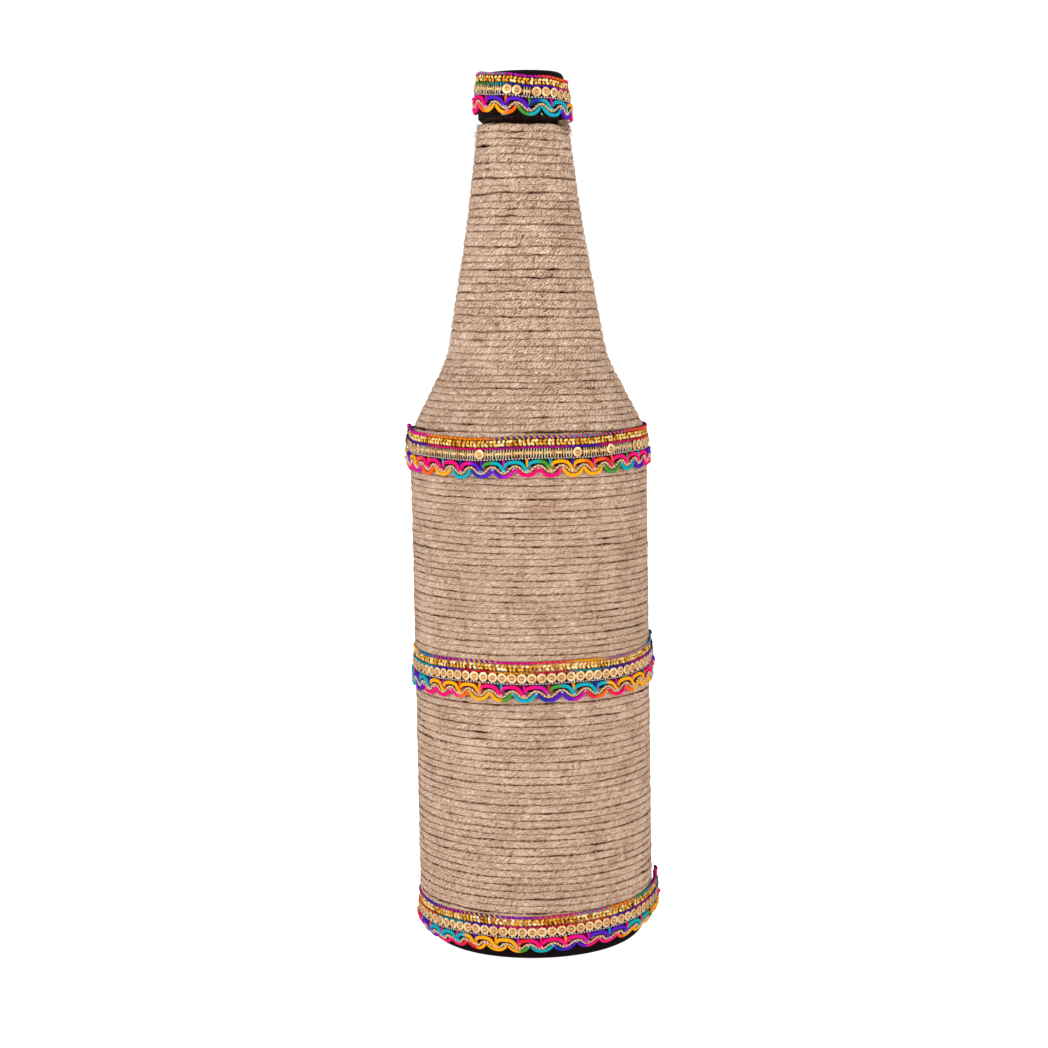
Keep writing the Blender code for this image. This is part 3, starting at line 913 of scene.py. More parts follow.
        # Deep and shallow seams follow each other at random: the deep ones get the darkest painted shade, and
        # each row is painted darker towards the seam where it meets the next
        deep = wander(everywhere, 0.023, 26) + 0.7 * wander(everywhere, 0.007, 27)
        floor = np.clip(part.faintness - 0.9 * np.interp(turn, everywhere, deep), 0.0, 0.74)[:, None]
        inside = (seam * worked)[:, None] - np.abs(section[..., 0])
        shade = floor + (1 - floor) * smooth(inside / part.seam_shadow)
        mesh = YarnMesh(part.name)
        mesh.add_tube(line, out, section, shade=shade * random.uniform(0.95, 1.05, shade.shape))
        return mesh

    def fibre(self, mesh: YarnMesh, turn: float, length: float, slope: float, lift: float,
              bend: float) -> None:
        """Lays one fibre on the twine.

        Args:
            mesh: Gathers the fibres.
            turn: Where it springs from, as a count of turns.
            length: Its length.
            slope: Its direction, in radians below the way of the twine.
            lift: How far its tip stands off the twine.
            bend: How far its tip curves down.
        """
        share = np.linspace(0.0, 1.0, 5)
        s = self.along(np.array([turn])) + share * length * math.sin(slope) + bend * share ** 2
        radius = self.path.place(s, 0.0)[0, 0] + self.diameter
        bearing = self.start_bearing + turn * math.tau + share * length * math.cos(slope) / radius
        line = turned(self.path.place(s, self.diameter * 0.97 + lift * share ** 1.5), bearing)
        section = round_section(3, self.fibre_radius, self.fibre_radius)
        mesh.add_tube(line, turned(self.path.normal(s), bearing), section)

    def fibres(self) -> YarnMesh:
        """Lays short stray fibres over the twine, most of them nearly along it, and a few frayed tufts.

        Returns:
            The piece's mesh.
        """
        random = np.random.default_rng(41)
        mesh = YarnMesh("stray_jute_fibres")
        whole = self.stretches[-1][0]
        for turn in random.uniform(0.2, whole - 0.5, self.stray_fibres):
            self.fibre(mesh, turn, random.uniform(1.2, 4.5) * MM, random.normal(-0.35, 0.40),
                       abs(random.normal(0.0, 0.22)) * MM, random.normal(0.0, 0.4) * MM)
        for turn, count, spread in self.tufts:
            for start in turn + random.normal(0, spread, count):
                self.fibre(mesh, max(start, 0.0), random.uniform(1.5, 4.5) * MM,
                           random.choice((-1, 1)) * random.uniform(0.5, 2.6),
                           random.uniform(0.0, 1.4) * MM, random.normal(0.0, 0.8) * MM)
        return mesh

    def build(self) -> None:
        """Winds the three stretches and lays the stray fibres."""
        counts = [turns for turns, _ in self.stretches]
        for part, first, last in zip(self.parts, counts, counts[1:]):
            piece = self.winding(part, first, last).piece()
            settle(piece, JUTE, *(("jute_twine",) if first == 0 else ()))
        settle(self.fibres().piece(), JUTE)


# The bows of satin cord: along the wave, and from their highest to their lowest
ARCH = np.array((
    (0.04, 0.62), (0.13, 0.19), (0.30, 0.04), (0.51, 0.0), (0.73, 0.13),
    (0.86, 0.45), (0.95, 0.85), (1.015, 1.0), (1.10, 0.94),
))
LOOP = np.array((
    (0.055, 0.08), (0.085, 0.26), (0.18, 0.62), (0.33, 0.92), (0.51, 1.0),
    (0.69, 0.92), (0.84, 0.64), (0.935, 0.28), (0.96, 0.12),
))


def drawn(corners: Array, steps: int) -> Array:
    """Draws a smooth curve through points.

    Args:
        corners: The points.
        steps: How many points to give.

    Returns:
        The curve's points.
    """
    held = np.vstack((2 * corners[0] - corners[1], corners, 2 * corners[-1] - corners[-2]))
    place = np.linspace(0, len(corners) - 1 - 1e-9, steps)
    before = place.astype(int)
    t = (place - before)[:, None]
    a, b, c, d = (held[before + i] for i in range(4))
    square, cube = 2 * a - 5 * b + 4 * c - d, 3 * b - a - 3 * c + d
    return 0.5 * (2 * b + (c - a) * t + square * t ** 2 + cube * t ** 3)


def dye_run(letters: str) -> tuple[str, int]:
    """Reads a run of dye letters, in which "|" marks place zero.

    Args:
        letters: The dyes' first letters in order.

    Returns:
        The letters alone, and how many of them stand before place zero.
    """
    run = letters.replace(" ", "")
    return run.replace("|", ""), run.index("|")


class Place(Enum):
    """Where a length of trim goes round the bottle."""

    NECK = "neck"
    SHOULDER = "shoulder"
    WAIST = "waist"
    BASE = "base"


@dataclass
class LaceTrim:
    """One length of sequinned lace, sewn row under row on a woven tape and glued round the bottle."""

    place: Place
    lift: float
    waves: int
    foot_bearing: float
    tip_bearing: float
    disc_bearing: float
    upper_dyes: str
    lower_dyes: str
    top_dyes: tuple[str, str]
    mid_dyes: str
    bar_dyes: str
    dye_step: float = 12 * MM
    worn: tuple[tuple[float, float], ...] = ()
    tip_rise: float = 1.5 * MM
    tip_reach: float = 20 * MM
    lean: float = 0.6 * MM
    curl: float = 0.0
    drop: float = 0.0
    flare: float = 0.2 * MM
    stretch: float = 0.0
    side_rise: float = 0.0
    seed: int = 1
    overlap: float = 2.5 * MM
    press: float = 0.45 * MM
    top_cord_depth: float = 0.5 * MM
    braid_top: float = 1.0 * MM
    braid_foot: float = 3.15 * MM
    mid_cord_depth: float = 3.6 * MM
    sequin_depth: float = 5.25 * MM
    sequin_radius: float = 1.52 * MM
    sequin_pitch: float = 3.07 * MM
    edge_cord_depth: float = 7.0 * MM
    tape_foot: float = 9.6 * MM
    arch_top: float = 7.95 * MM
    arch_fall: float = 2.65 * MM
    wave_crest: float = 9.1 * MM
    wave_trough: float = 11.25 * MM
    loop_top: float = 9.7 * MM
    loop_drop: float = 2.55 * MM
    satin_radius: float = 0.58 * MM
    strand: float = 0.26 * MM
    cord_standoff: float = 1.9
    strip_step: float = 1.0 * MM
    tape_top: float = 0.3 * MM
    tape_face: float = 0.04 * MM
    tape_back: float = -0.22 * MM
    tape_dye_step: float = 3.1 * MM
    top_lay: float = 1.8 * MM
    braid_face: float = 0.14 * MM
    leaf_off: float = 0.26 * MM
    braid_pitch: float = 1.3 * MM
    braid_slant: float = math.radians(42)
    mid_strand: float = 0.2184 * MM
    mid_lay: float = 1.7 * MM
    mid_shade: float = 0.6
    sequin_off: float = 0.55 * MM
    stitch_off: float = 0.72 * MM
    stitch_radius: float = 0.09 * MM
    chain_off: float = 0.42 * MM
    chain_swing: float = 0.30 * MM
    chain_section: tuple[float, float] = (0.28 * MM, 0.17 * MM)
    rung_pitch: float = 0.42 * MM
    rung_reach: float = 1.50 * MM
    rung_section: tuple[float, float] = (0.15 * MM, 0.13 * MM)
    edge_strand: float = 0.14 * MM
    edge_lay: float = 1.0 * MM
    bar_radius: float = 0.21 * MM
    bar_spread: float = 0.22 * MM
    foot_stitch_off: float = 1.1 * MM
    foot_stitch_radius: float = 0.08 * MM
    bow_points: int = 26
    wave_strand: float = 0.20 * MM
    wave_lay: float = 1.15 * MM
    wave_off: float = 0.85 * MM
    lean_depth: float = 6 * MM
    curl_depth: float = 8.6 * MM

    def __post_init__(self) -> None:
        """Reads the seat's radius and the top edge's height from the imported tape."""
        low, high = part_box(self.place.value + "_tape")
        self.radius = high.x - self.press
        self.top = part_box(self.place.value + "_top_cord")[1].z - self.drop
        self.side = math.copysign(1.0, self.tip_bearing)
        self.random = np.random.default_rng(self.seed)
        other = self.tip_bearing - self.side * (math.tau + self.overlap / self.radius)
        self.ends = sorted((self.tip_bearing, other))

    def name(self, part: str) -> str:
        """The name of one of the trim's pieces."""
        return f"{self.place.value}_trim_{part}"

    def leaning(self, depth: Array) -> Array:
        """How far the trim leans inwards at a depth below its top edge, at its top and over the heel."""
        lean = self.lean * np.clip(1 - depth / self.lean_depth, 0, 1)
        return lean + self.curl * np.clip(depth - self.curl_depth, 0, None)

    def spot(self, bearing: Array, depth: Array, off: Array) -> Array:
        """Finds points on the trim.

        Args:
            bearing: Their bearings.
            depth: How far below the top edge they are.
            off: How far off the tape they are.

        Returns:
            The points.
        """
        gone = np.abs(bearing - self.tip_bearing) * self.radius
        free = np.clip(1 - gone / self.tip_reach, 0, 1) ** 1.4
        over = smooth((self.overlap + 3 * MM - gone) / (3 * MM))
        sway = 0.16 * MM * (np.sin(3 * bearing + self.seed) + np.sin(7 * bearing + 2 * self.seed))
        side = np.sin(bearing)
        top = self.top + self.lift * side + self.side_rise * side ** 4 + self.tip_rise * free + sway
        radius = self.radius + off + over * 1.1 * MM + free ** 2 * self.flare - self.leaning(depth)
        return np.stack((radius * np.sin(bearing), -radius * np.cos(bearing), top - depth), axis=1)

    def outward(self, bearing: Array) -> Array:
        """The directions straight off the tape."""
        return np.stack((np.sin(bearing), -np.cos(bearing), np.zeros_like(bearing)), axis=1)

    def thread(self, mesh: YarnMesh, bearing: Array, depth: Array | float, off: Array | float,
               section: Array, dye: Array = UNDYED, shade: Array | float = 1.0) -> None:
        """Lays one thread along the trim.

        Args:
            mesh: Gathers the threads.
            bearing: The bearings of its points.
            depth: How far below the top edge they lie.
            off: How far off the tape they lie.
            section: Its (across, out) points.
            dye: Its colour.
            shade: How much of its colour each part of it keeps.
        """
        mesh.add_tube(self.spot(bearing, depth, off), self.outward(bearing), section, dye, shade)

    def settle_row(self, mesh: YarnMesh, finish: Finish) -> None:
        """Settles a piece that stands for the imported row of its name."""
        settle(mesh.piece(), finish, mesh.name.replace("_trim_", "_"))

    def bearings(self, spacing: float, inset: float = 0.0) -> Array:
        """Even steps from one end of the trim to the other."""
        low, high = self.ends[0] + inset / self.radius, self.ends[1] - inset / self.radius
        return np.linspace(low, high, int((high - low) * self.radius / spacing))

    def dyed(self, letters: str, place: Array) -> Array:
        """Reads colours off a run of dyes, in which each letter takes one step.

        Args:
            letters: The run of dye letters.
            place: Where the colour is read, in steps.

        Returns:
            The colours.
        """
        run, zero = dye_run(letters)
        colours = np.array([DYES[letter] for letter in run])
        shifted = place + zero - 0.5
        before = np.floor(shifted).astype(int)
        share = smooth((shifted - before - 0.2) / 0.6)[:, None]
        return colours[before % len(colours)] * (1 - share) + colours[(before + 1) % len(colours)] * share

    def cord(self, part: str, depth: float, dyes: list, finish: Finish, strand: float, lay: float,
             second: float = 1.0) -> None:
        """Lays a cord of twisted strands round the bottle.

        Args:
            part: The piece's name within the trim.
            depth: How far below the top edge it runs.
            dyes: A string of dye letters, or a colour, for each strand.
            finish: The strands' finish.
            strand: A strand's radius.
            lay: The length of one twist.
            second: How much of its colour the second strand keeps beside the first, as painted shade.
        """
        bearing = self.bearings(lay / 8)
        mesh = YarnMesh(self.name(part))
        for number, dye in enumerate(dyes):
            twist = bearing * self.radius * math.tau / lay + number * math.tau / len(dyes)
            colour = self.dyed(dye, bearing * self.radius / self.dye_step) if isinstance(dye, str) else dye
            # Painted shade: each strand is painted darker where it turns behind the other
            shade = 0.12 + 0.88 * smooth((np.cos(twist) + 0.15) / 0.8)[:, None]
            self.thread(mesh, bearing, depth + strand * np.sin(twist),
                        strand * (self.cord_standoff + np.cos(twist)),
                        round_section(6, strand * 0.96, strand * 0.96), colour,
                        shade * (second if number else 1.0))
        self.settle_row(mesh, finish)

    def strip(self, mesh: YarnMesh, top: float, foot: float, front: float, back: float, tint: Array,
              shaded_below: float = math.inf) -> None:
        """Lays a flat strip round the bottle.

        Args:
            mesh: Gathers the strip.
            top: How far below the trim's top edge it begins.
            foot: How far below it ends.
            front: How far its face stands off the tape's face.
            back: How far its back stands off it, less than nothing behind.
            tint: The colour along it, or one for all.
            shaded_below: The depth below which it lies in shade.
        """
        bearing = self.bearings(self.strip_step)
        middle, half = (top + foot) / 2, (foot - top) / 2
        across = half * np.linspace(-1, 1, 9)
        inward = self.leaning(middle + across) - self.leaning(middle)
        face = np.stack((across, front - inward), axis=1)
        rear = np.stack((across, back - inward), axis=1)[::-1]
        shade = np.where(middle + np.append(across, across[::-1]) > shaded_below, 0.3, 1.0)
        self.thread(mesh, bearing, middle, 0.0, np.vstack((face, rear)), tint, shade)

    def tape(self) -> None:
        """The woven ground tape that carries every row."""
        mesh = YarnMesh(self.name("tape"))
        bearing = self.bearings(self.strip_step)
        place, worn = self.disc_places()
        bare = np.interp(bearing, place, worn)[:, None]
        colour = self.dyed("PTVRB|MTPVR", bearing * self.radius / self.tape_dye_step) * (0.55 - 0.30 * bare)
        self.strip(mesh, self.tape_top, self.tape_foot, self.tape_face, self.tape_back, colour,
                   self.edge_cord_depth)
        self.settle_row(mesh, NET_TAPE)

    def braid(self, leaf: Stamp) -> None:
        """Lays the flat braid of gold zari: chevrons of plump stitches over a ground painted dark as the
        shade between them.

        Args:
            leaf: One of its stitches.
        """
        mesh = YarnMesh(self.name("zari_braid"))
        # The ground strip is painted near black as the shade between the stitches
        self.strip(mesh, self.braid_top, self.braid_foot, self.braid_face, 0.0, UNDYED * 0.07)
        middle, half = (self.braid_top + self.braid_foot) / 2, (self.braid_foot - self.braid_top) / 2
        column = self.bearings(self.braid_pitch)
        shine = self.random.uniform(0.75, 1.25, len(column))
        for row in (-1, 1):
            slip = self.random.uniform(-0.22, 0.22, len(column))
            bearing = column + slip * self.braid_pitch / self.radius
            origins = self.spot(bearing, middle + row * half * 0.46, self.leaf_off)
            tilt = math.pi / 2 + row * self.braid_slant + self.random.normal(0, 0.40, len(bearing))
            # Painted glints: each column is painted brighter or darker, and a few stitches much paler
            glint = self.random.uniform(0, 1, (len(bearing), 1)) ** 4
            tint = (shine * self.random.uniform(0.55, 1.25, len(bearing)))[:, None] * (1.0 + 0.9 * glint)
            mesh.add_copies(leaf, origins, self.turns(bearing, tilt, 0.45), tint)
        self.settle_row(mesh, ZARI)

    def turns(self, bearing: Array, tilt: Array, wobble: float) -> Array:
        """Stands a flat stamp on the tape.

        Args:
            bearing: Where each copy stands.
            tilt: How far each is turned on the tape.
            wobble: How far they lean off it at random.

        Returns:
            A matrix for each copy.
        """
        out = self.outward(bearing)
        out = unit(out + self.random.normal(0, wobble, out.shape) * 0.5)
        right = unit(np.cross(np.array((0.0, 0.0, 1.0)), out))
        up = np.cross(out, right)
        cosine, sine = np.cos(tilt)[:, None], np.sin(tilt)[:, None]
        return np.stack((right * cosine + up * sine, up * cosine - right * sine, out), axis=2)

    def disc_places(self) -> tuple[Array, Array]:
        """Finds the sequins' places.

        Returns:
            Their bearings, and which of them have lost their film.
        """
        step = self.sequin_pitch / self.radius
        low, high = (np.array(self.ends) - self.disc_bearing) / step
        bearing = self.disc_bearing + np.arange(math.ceil(low + 0.6), math.floor(high - 0.6) + 1) * step
        worn = np.zeros(len(bearing), bool)
        for low, high in self.worn:
            worn |= (bearing > math.radians(low)) & (bearing < math.radians(high))
        return bearing, worn

    def sequins(self, disc: Stamp) -> None:
        """Lays the row of sequins, each held by a stitch through its hole.

        Args:
            disc: One sequin.
        """
        bearing, worn = self.disc_places()
        kept = bearing[~worn]
        mesh = YarnMesh(self.name("sequins"))
        tint = self.random.uniform(0.9, 1.06, (len(kept), 1)) * UNDYED
        mesh.add_copies(disc, self.spot(kept, self.sequin_depth, self.sequin_off),
                        self.turns(kept, self.random.uniform(0, 6, len(kept)), 0.07), tint)
        self.settle_row(mesh, SEQUIN_FILM)
        stitches = YarnMesh(self.name("sequin_stitches"))
        share = np.linspace(-1, 1, 5)
        for place in kept:
            for reach, level in ((0.5, 0.0), (0.35, 0.22)):
                turn = self.random.normal(0, 0.5)
                line = self.spot(place + share * reach * MM * math.cos(turn) / self.radius,
                                 self.sequin_depth + level * MM + share * reach * MM * math.sin(turn),
                                 self.stitch_off + 0.12 * MM * (1 - share ** 2))
                out = self.outward(np.full(5, place))
                section = round_section(4, self.stitch_radius, self.stitch_radius)
                stitches.add_tube(line, out, section, UNDYED * 1.1)
        settle(stitches.piece(), CHAIN_GOLD)

    def chain(self) -> None:
        """Lays the chain stitch under the sequins."""
        chain = YarnMesh(self.name("chain_stitch"))
        run = self.bearings(self.sequin_pitch / 10)
        phase = (run - self.disc_bearing) * self.radius / self.sequin_pitch * math.pi
        for sign in (-1, 1):
            depth = self.sequin_depth + sign * self.chain_swing * np.sin(phase)
            off = self.chain_off + 0.10 * MM * np.cos(2 * phase)
            shade = 0.4 + 0.6 * np.abs(np.cos(phase))[:, None]
            self.thread(chain, run, depth, off, round_section(6, *self.chain_section), UNDYED * 1.1, shade)
        settle(chain.piece(), CHAIN_GOLD)

    def rungs(self) -> None:
        """Lays the gold rungs that hold the ground behind the sequins."""
        rungs = YarnMesh(self.name("gold_rungs"))
        share = np.linspace(-1, 1, 5)
        place, worn = self.disc_places()
        for i, foot in enumerate(self.bearings(self.rung_pitch, 1.0 * MM)):
            bare = worn[np.argmin(np.abs(place - foot))]
            bright = i % 2 == 0 and (bare or self.random.uniform() < 0.25)
            depth = self.sequin_depth + share * (self.rung_reach + self.random.uniform(-0.12, 0.12) * MM)
            bend = np.full(5, foot) + share * self.random.normal(0, 0.10) * MM / self.radius
            off = (0.30 if bright else 0.12) * MM + 0.14 * MM * (1 - share ** 2)
            # Painted light: bright rungs are painted pale gold to glint, and the others, set back nearer the
            # tape, are painted deep brown as shade
            tint = UNDYED * (self.random.uniform(0.8, 1.7) if bright else self.random.uniform(0.0, 0.3) ** 2)
            self.thread(rungs, bend, depth, off, round_section(4, *self.rung_section), tint)
        settle(rungs.piece(), CHAIN_GOLD)

    def pulled(self, bearing: Array) -> Array:
        """Where the lace's even waves lie once it was pulled tight on the right."""
        return bearing + self.stretch * np.clip(bearing, 0.0, 1.2)

    def feet(self) -> tuple[Array, Array]:
        """Finds the scallops' feet that lie on the trim.

        Returns:
            Their bearings, and their numbers from the front.
        """
        step = math.tau / self.waves
        low, high = (np.array(self.ends) - self.foot_bearing) / step
        number = np.arange(math.ceil(low), math.floor(high) + 1)
        foot = self.foot_bearing + number * step
        kept = self.pulled(foot) <= self.ends[1]
        return foot[kept], number[kept]

    def bow(self, mesh: YarnMesh, start: float, curve: Array, number: int, dyes: str) -> None:
        """Lays one bow of satin cord.

        Args:
            mesh: Gathers the bows.
            start: The bearing that the bow is measured from.
            curve: Its points, as shares of a wave and as depths below the top edge.
            number: Its number from the front.
            dyes: The cord's dye letters, two for each bow.
        """
        step = math.tau / self.waves
        count = self.bow_points
        share, depth = drawn(curve, count).T
        bearing = self.pulled(start + step * share)
        # It dips to the tape at both ends, where it is sewn down and squeezed
        off = self.satin_radius * (0.45 + 0.7 * smooth(1 - np.abs(np.linspace(-1.4, 1.4, count)) + 0.6))
        squeeze = np.minimum(np.linspace(0, 9, count), np.linspace(9, 0, count)) + 0.55
        girth = self.satin_radius * np.clip(squeeze, 0.6, 1.0)[:, None, None]
        colour = self.dyed(dyes, 2 * (number + np.clip(share, 0, 1)))
        self.thread(mesh, bearing, depth, off, round_section(10, 1, 1)[None] * girth, colour)

    def scallops(self) -> None:
        """The satin cord in arches, and the one in hanging loops half a wave further on."""
        step = math.tau / self.waves
        feet, numbers = self.feet()
        upper = YarnMesh(self.name("upper_scallops"))
        lower = YarnMesh(self.name("lower_scallops"))
        for foot, number in zip(feet, numbers):
            swell, slip = 1 + self.random.normal(0, 0.05), self.random.normal(0, 0.025)
            if self.pulled(foot + step * 1.12) <= self.ends[1]:
                curve = ARCH * (1.0, self.arch_fall * swell) + (slip, self.arch_top)
                self.bow(upper, foot, curve, number, self.upper_dyes)
            if self.ends[0] < foot - step / 2 and self.pulled(foot + step / 2) < self.ends[1]:
                curve = LOOP * (1.0, self.loop_drop * swell) + (slip, self.loop_top)
                self.bow(lower, foot - step / 2, curve, number, self.lower_dyes)
        self.settle_row(upper, SATIN)
        self.settle_row(lower, SATIN)

    def gold_wave(self) -> None:
        """The two-strand gold cord that runs under the arches and over the loops."""
        lay, strand = self.wave_lay, self.wave_strand
        even = self.bearings(lay / 10, 1.0 * MM)
        even = even[self.pulled(even) < self.ends[1]]
        bearing = self.pulled(even)
        phase = (even - self.foot_bearing) * self.waves
        swing = np.cos(phase) - 0.06 * np.cos(3 * phase)
        depth = (self.wave_crest + self.wave_trough) / 2 + (self.wave_trough - self.wave_crest) / 2 * swing
        middle = self.spot(bearing, depth, self.wave_off - 0.1 * MM * np.cos(phase))
        out = self.outward(bearing)
        ahead = unit(np.gradient(middle, axis=0))
        across = np.cross(ahead, out)
        run = np.append(0.0, np.cumsum(np.linalg.norm(np.diff(middle, axis=0), axis=1)))
        mesh = YarnMesh(self.name("gold_wave"))
        # One gold thread in two strands, one painted lighter and one darker, and each painted darker where it
        # turns behind the other
        for start, tint in ((0.0, 1.35), (math.pi, 0.80)):
            twist = (run * math.tau / lay + start)[:, None]
            line = middle + strand * (np.sin(twist) * across + np.cos(twist) * out)
            shade = 0.10 + 0.90 * smooth((np.cos(twist) + 0.55) / 1.1)
            mesh.add_tube(line, out, round_section(6, strand * 0.95, strand * 0.95), UNDYED * tint, shade)
        self.settle_row(mesh, WAVE_GOLD)

    def ties(self) -> None:
        """The thread bars that hold each pair of feet, and the pale stitches on them."""
        feet, numbers = self.feet()
        bars = YarnMesh(self.name("thread_bars"))
        stitches = YarnMesh(self.name("foot_stitches"))
        share = np.linspace(0, 1, 5)
        letters, zero = dye_run(self.bar_dyes)
        for foot, number in zip(feet, numbers):
            colour = DYES[letters[(zero + number) % len(letters)]]
            for side in (-1, 1):
                bearing = self.pulled(np.full(5, foot)) + side * (1.2 - share) * self.bar_spread / self.radius
                fall = self.arch_top + 1.6 * MM - self.edge_cord_depth
                self.thread(bars, bearing, self.edge_cord_depth + 0.15 * MM + share * fall,
                            0.42 * MM + 0.25 * MM * np.sin(share * math.pi),
                            round_section(6, self.bar_radius, self.bar_radius), colour)
            for level in (self.arch_top + self.arch_fall, self.loop_top + 0.2 * MM):
                for _ in range(2):
                    lean = self.random.uniform(-0.5, 0.5) * MM / self.radius
                    half_wave = math.pi / self.waves if level < self.arch_top + self.arch_fall else 0.0
                    bearing = self.pulled(foot + half_wave) + (share - 0.5) * (0.5 * MM / self.radius) + lean
                    depth = level + (share - 0.5) * self.random.uniform(-0.8, 0.8) * MM
                    self.thread(stitches, bearing, depth,
                                self.foot_stitch_off + 0.15 * MM * np.sin(share * math.pi),
                                round_section(4, self.foot_stitch_radius, self.foot_stitch_radius),
                                UNDYED * 0.85)
        settle(bars.piece(), THREAD)
        settle(stitches.piece(), SILVER_YARN)

    def build(self, leaf: Stamp, disc: Stamp) -> None:
        """Sews every row, from the top edge down.

        Args:
            leaf: One stitch of the zari braid.
            disc: One sequin.
        """
        self.tape()
        self.cord("top_cord", self.top_cord_depth, list(self.top_dyes), THREAD, self.strand, self.top_lay)
        self.braid(leaf)
        self.cord("mid_cord", self.mid_cord_depth, [self.mid_dyes] * 2, THREAD, self.mid_strand,
                  self.mid_lay, self.mid_shade)
        self.chain()
        self.rungs()
        self.sequins(disc)
        silver, brown = (np.array(linear(colour)[:3]) for colour in ("#FFF4EA", "#4A2A20"))
        self.cord("edge_cord", self.edge_cord_depth, [silver, brown], SILVER_YARN, self.edge_strand,
                  self.edge_lay)
        self.ties()
        self.scallops()
        self.gold_wave()


def model_leaf() -> Stamp:
    """Models one stitch of the zari braid: a short, plump leaf, lying along X.

    Returns:
        The stamp, its face towards +Z.
    """
    bpy.ops.object.select_all(action="DESELECT")
    bpy.ops.mesh.primitive_circle_add(vertices=8, radius=0.5, fill_type="NGON")
    leaf = bpy.context.object
    bpy.ops.object.mode_set(mode="EDIT")
    bpy.ops.mesh.select_all(action="SELECT")
    bpy.ops.transform.resize(value=(1.45 * MM, 0.98 * MM, MM))
    bpy.ops.mesh.extrude_region_move(TRANSFORM_OT_translate={"value": (0, 0, 0.14 * MM)})
    bpy.ops.mesh.inset(thickness=0.14 * MM)
    bpy.ops.transform.translate(value=(0, 0, 0.16 * MM))
    bpy.ops.mesh.select_all(action="SELECT")
    bpy.ops.mesh.normals_make_consistent(inside=False)
    bpy.ops.object.mode_set(mode="OBJECT")
    # Painted shade: each stitch is painted dark at its foot and light on its raised top
    return Stamp.of(leaf, lambda points: 0.18 + 0.92 * smooth(points[:, 2] / (0.26 * MM)))


def model_sequin(radius: float) -> Stamp:
    """Models one flat sequin: a dished foil disc with a round hole.

    Args:
        radius: The sequin's radius.

    Returns:
        The stamp, its face towards +Z.
    """
    bpy.ops.object.select_all(action="DESELECT")
    bpy.ops.mesh.primitive_circle_add(vertices=16, radius=radius, fill_type="NGON")
    disc = bpy.context.object
    bpy.ops.object.mode_set(mode="EDIT")
    bpy.ops.mesh.select_all(action="SELECT")
    for width, rise in ((0.10, 0.06), (0.36, 0.0), (0.12, 0.05), (0.16, -0.08)):
        bpy.ops.mesh.inset(thickness=radius * width)
        bpy.ops.transform.translate(value=(0, 0, rise * MM))
    bpy.ops.mesh.delete(type="FACE")
    bpy.ops.object.mode_set(mode="OBJECT")

    def tone(points: Array) -> Array:
        """Painted light: brightest on the outer flat, as a painted highlight, and painted browner at the rim
        and towards the hole, as shade.
        """
        share = np.hypot(points[:, 0], points[:, 1]) / radius
        return np.interp(share, (0.26, 0.42, 0.54, 0.9, 1.0), (0.12, 0.42, 0.86, 1.42, 1.05))

    return Stamp.of(disc, tone)


def trims() -> list[LaceTrim]:
    """Gives the four trims, with the dyes and the wear that the photograph shows.

    Returns:
        The trims, from the neck down.
    """
    angle = math.radians
    return [
        LaceTrim(
            Place.NECK, lift=-1.45 * MM, waves=13,
            foot_bearing=angle(8), tip_bearing=angle(130), disc_bearing=angle(17),
            upper_dyes="PP PP VV VV | BT TT YY OO PP VV TT GG YY",
            lower_dyes="PP OY YO | GT TT VV PP OO YY GG TT VV PP",
            top_dyes=("TTPP|VOOPPVTTB", "PPTV|PPORPVBTP"),
            mid_dyes="YGGTB|VVMPPOYGT", bar_dyes="TVMO|GMVTPO", dye_step=5.5 * MM,
            worn=((-75, -19), (1, 12)), tip_rise=0.0, lean=1.2 * MM, drop=0.9 * MM, press=0.15 * MM, seed=5),
        LaceTrim(
            Place.SHOULDER, lift=0.15 * MM, waves=34,
            foot_bearing=angle(-1), tip_bearing=angle(-100), disc_bearing=angle(22.7),
            upper_dyes="VV YY OP PP PP PV GT TT | TG YY YO OR PP PP PP VV GG YY",
            lower_dyes="PP MM OO YY TT BV VM | PP PP YY YY GG TT VV PP OO YY",
            top_dyes=("VPVPOOY|YTBRORG", "BMMMYYB|VPOOPVB"),
            mid_dyes="VVVVPPM|MVPRORG", bar_dyes="MOTBVM|YTBMOGTV",
            worn=((-60, -23.2), (-19, 20.5), (25, 38), (42.4, 58)),
            tip_rise=0.8 * MM, lean=0.9 * MM, drop=0.35 * MM, side_rise=1.3 * MM, seed=7),
        LaceTrim(
            Place.WAIST, lift=0.0, waves=34,
            foot_bearing=angle(6.5), tip_bearing=angle(101), disc_bearing=angle(-0.5),
            upper_dyes="VV TT YY YY YY PP PP PM | GT TT TY YY YY PP PP VV TT",
            lower_dyes="TT VV PP PP PO YY YG TT | BV VM RO RP OY YY YT TT",
            top_dyes=("OBYBPVP|OYTTBTV", "YVYTBYM|PYPOTBP"),
            mid_dyes="VVTTVRY|RTVMVBT", bar_dyes="TVMOYTM|RYVMMGTP",
            tip_rise=2.0 * MM, drop=-0.65 * MM, stretch=0.10, side_rise=0.6 * MM, seed=9),
        LaceTrim(
            Place.BASE, lift=0.25 * MM, waves=34,
            foot_bearing=angle(1.5), tip_bearing=angle(104), disc_bearing=angle(2.2),
            upper_dyes="PP VV TT TT TY YY YY RP | PP PM VV VV TT TG YY YY",
            lower_dyes="VV PP PR RY YY YG | TT BV VP PP OY YY YY YG",
            top_dyes=("TVRBBBV|MPOTBPR", "MOVVPYM|OTYGPPR"),
            mid_dyes="VPOOTVP|ROVMVTG", bar_dyes="VTOMPVYM|PYMTPROG",
            tip_rise=3.0 * MM, tip_reach=55 * MM, curl=0.65, drop=0.5 * MM, flare=1.8 * MM, stretch=0.08,
            sequin_depth=5.0 * MM, edge_cord_depth=6.7 * MM, arch_top=7.55 * MM, arch_fall=2.4 * MM,
            wave_crest=8.65 * MM, wave_trough=10.65 * MM, loop_top=9.15 * MM, loop_drop=2.35 * MM, seed=12),
    ]


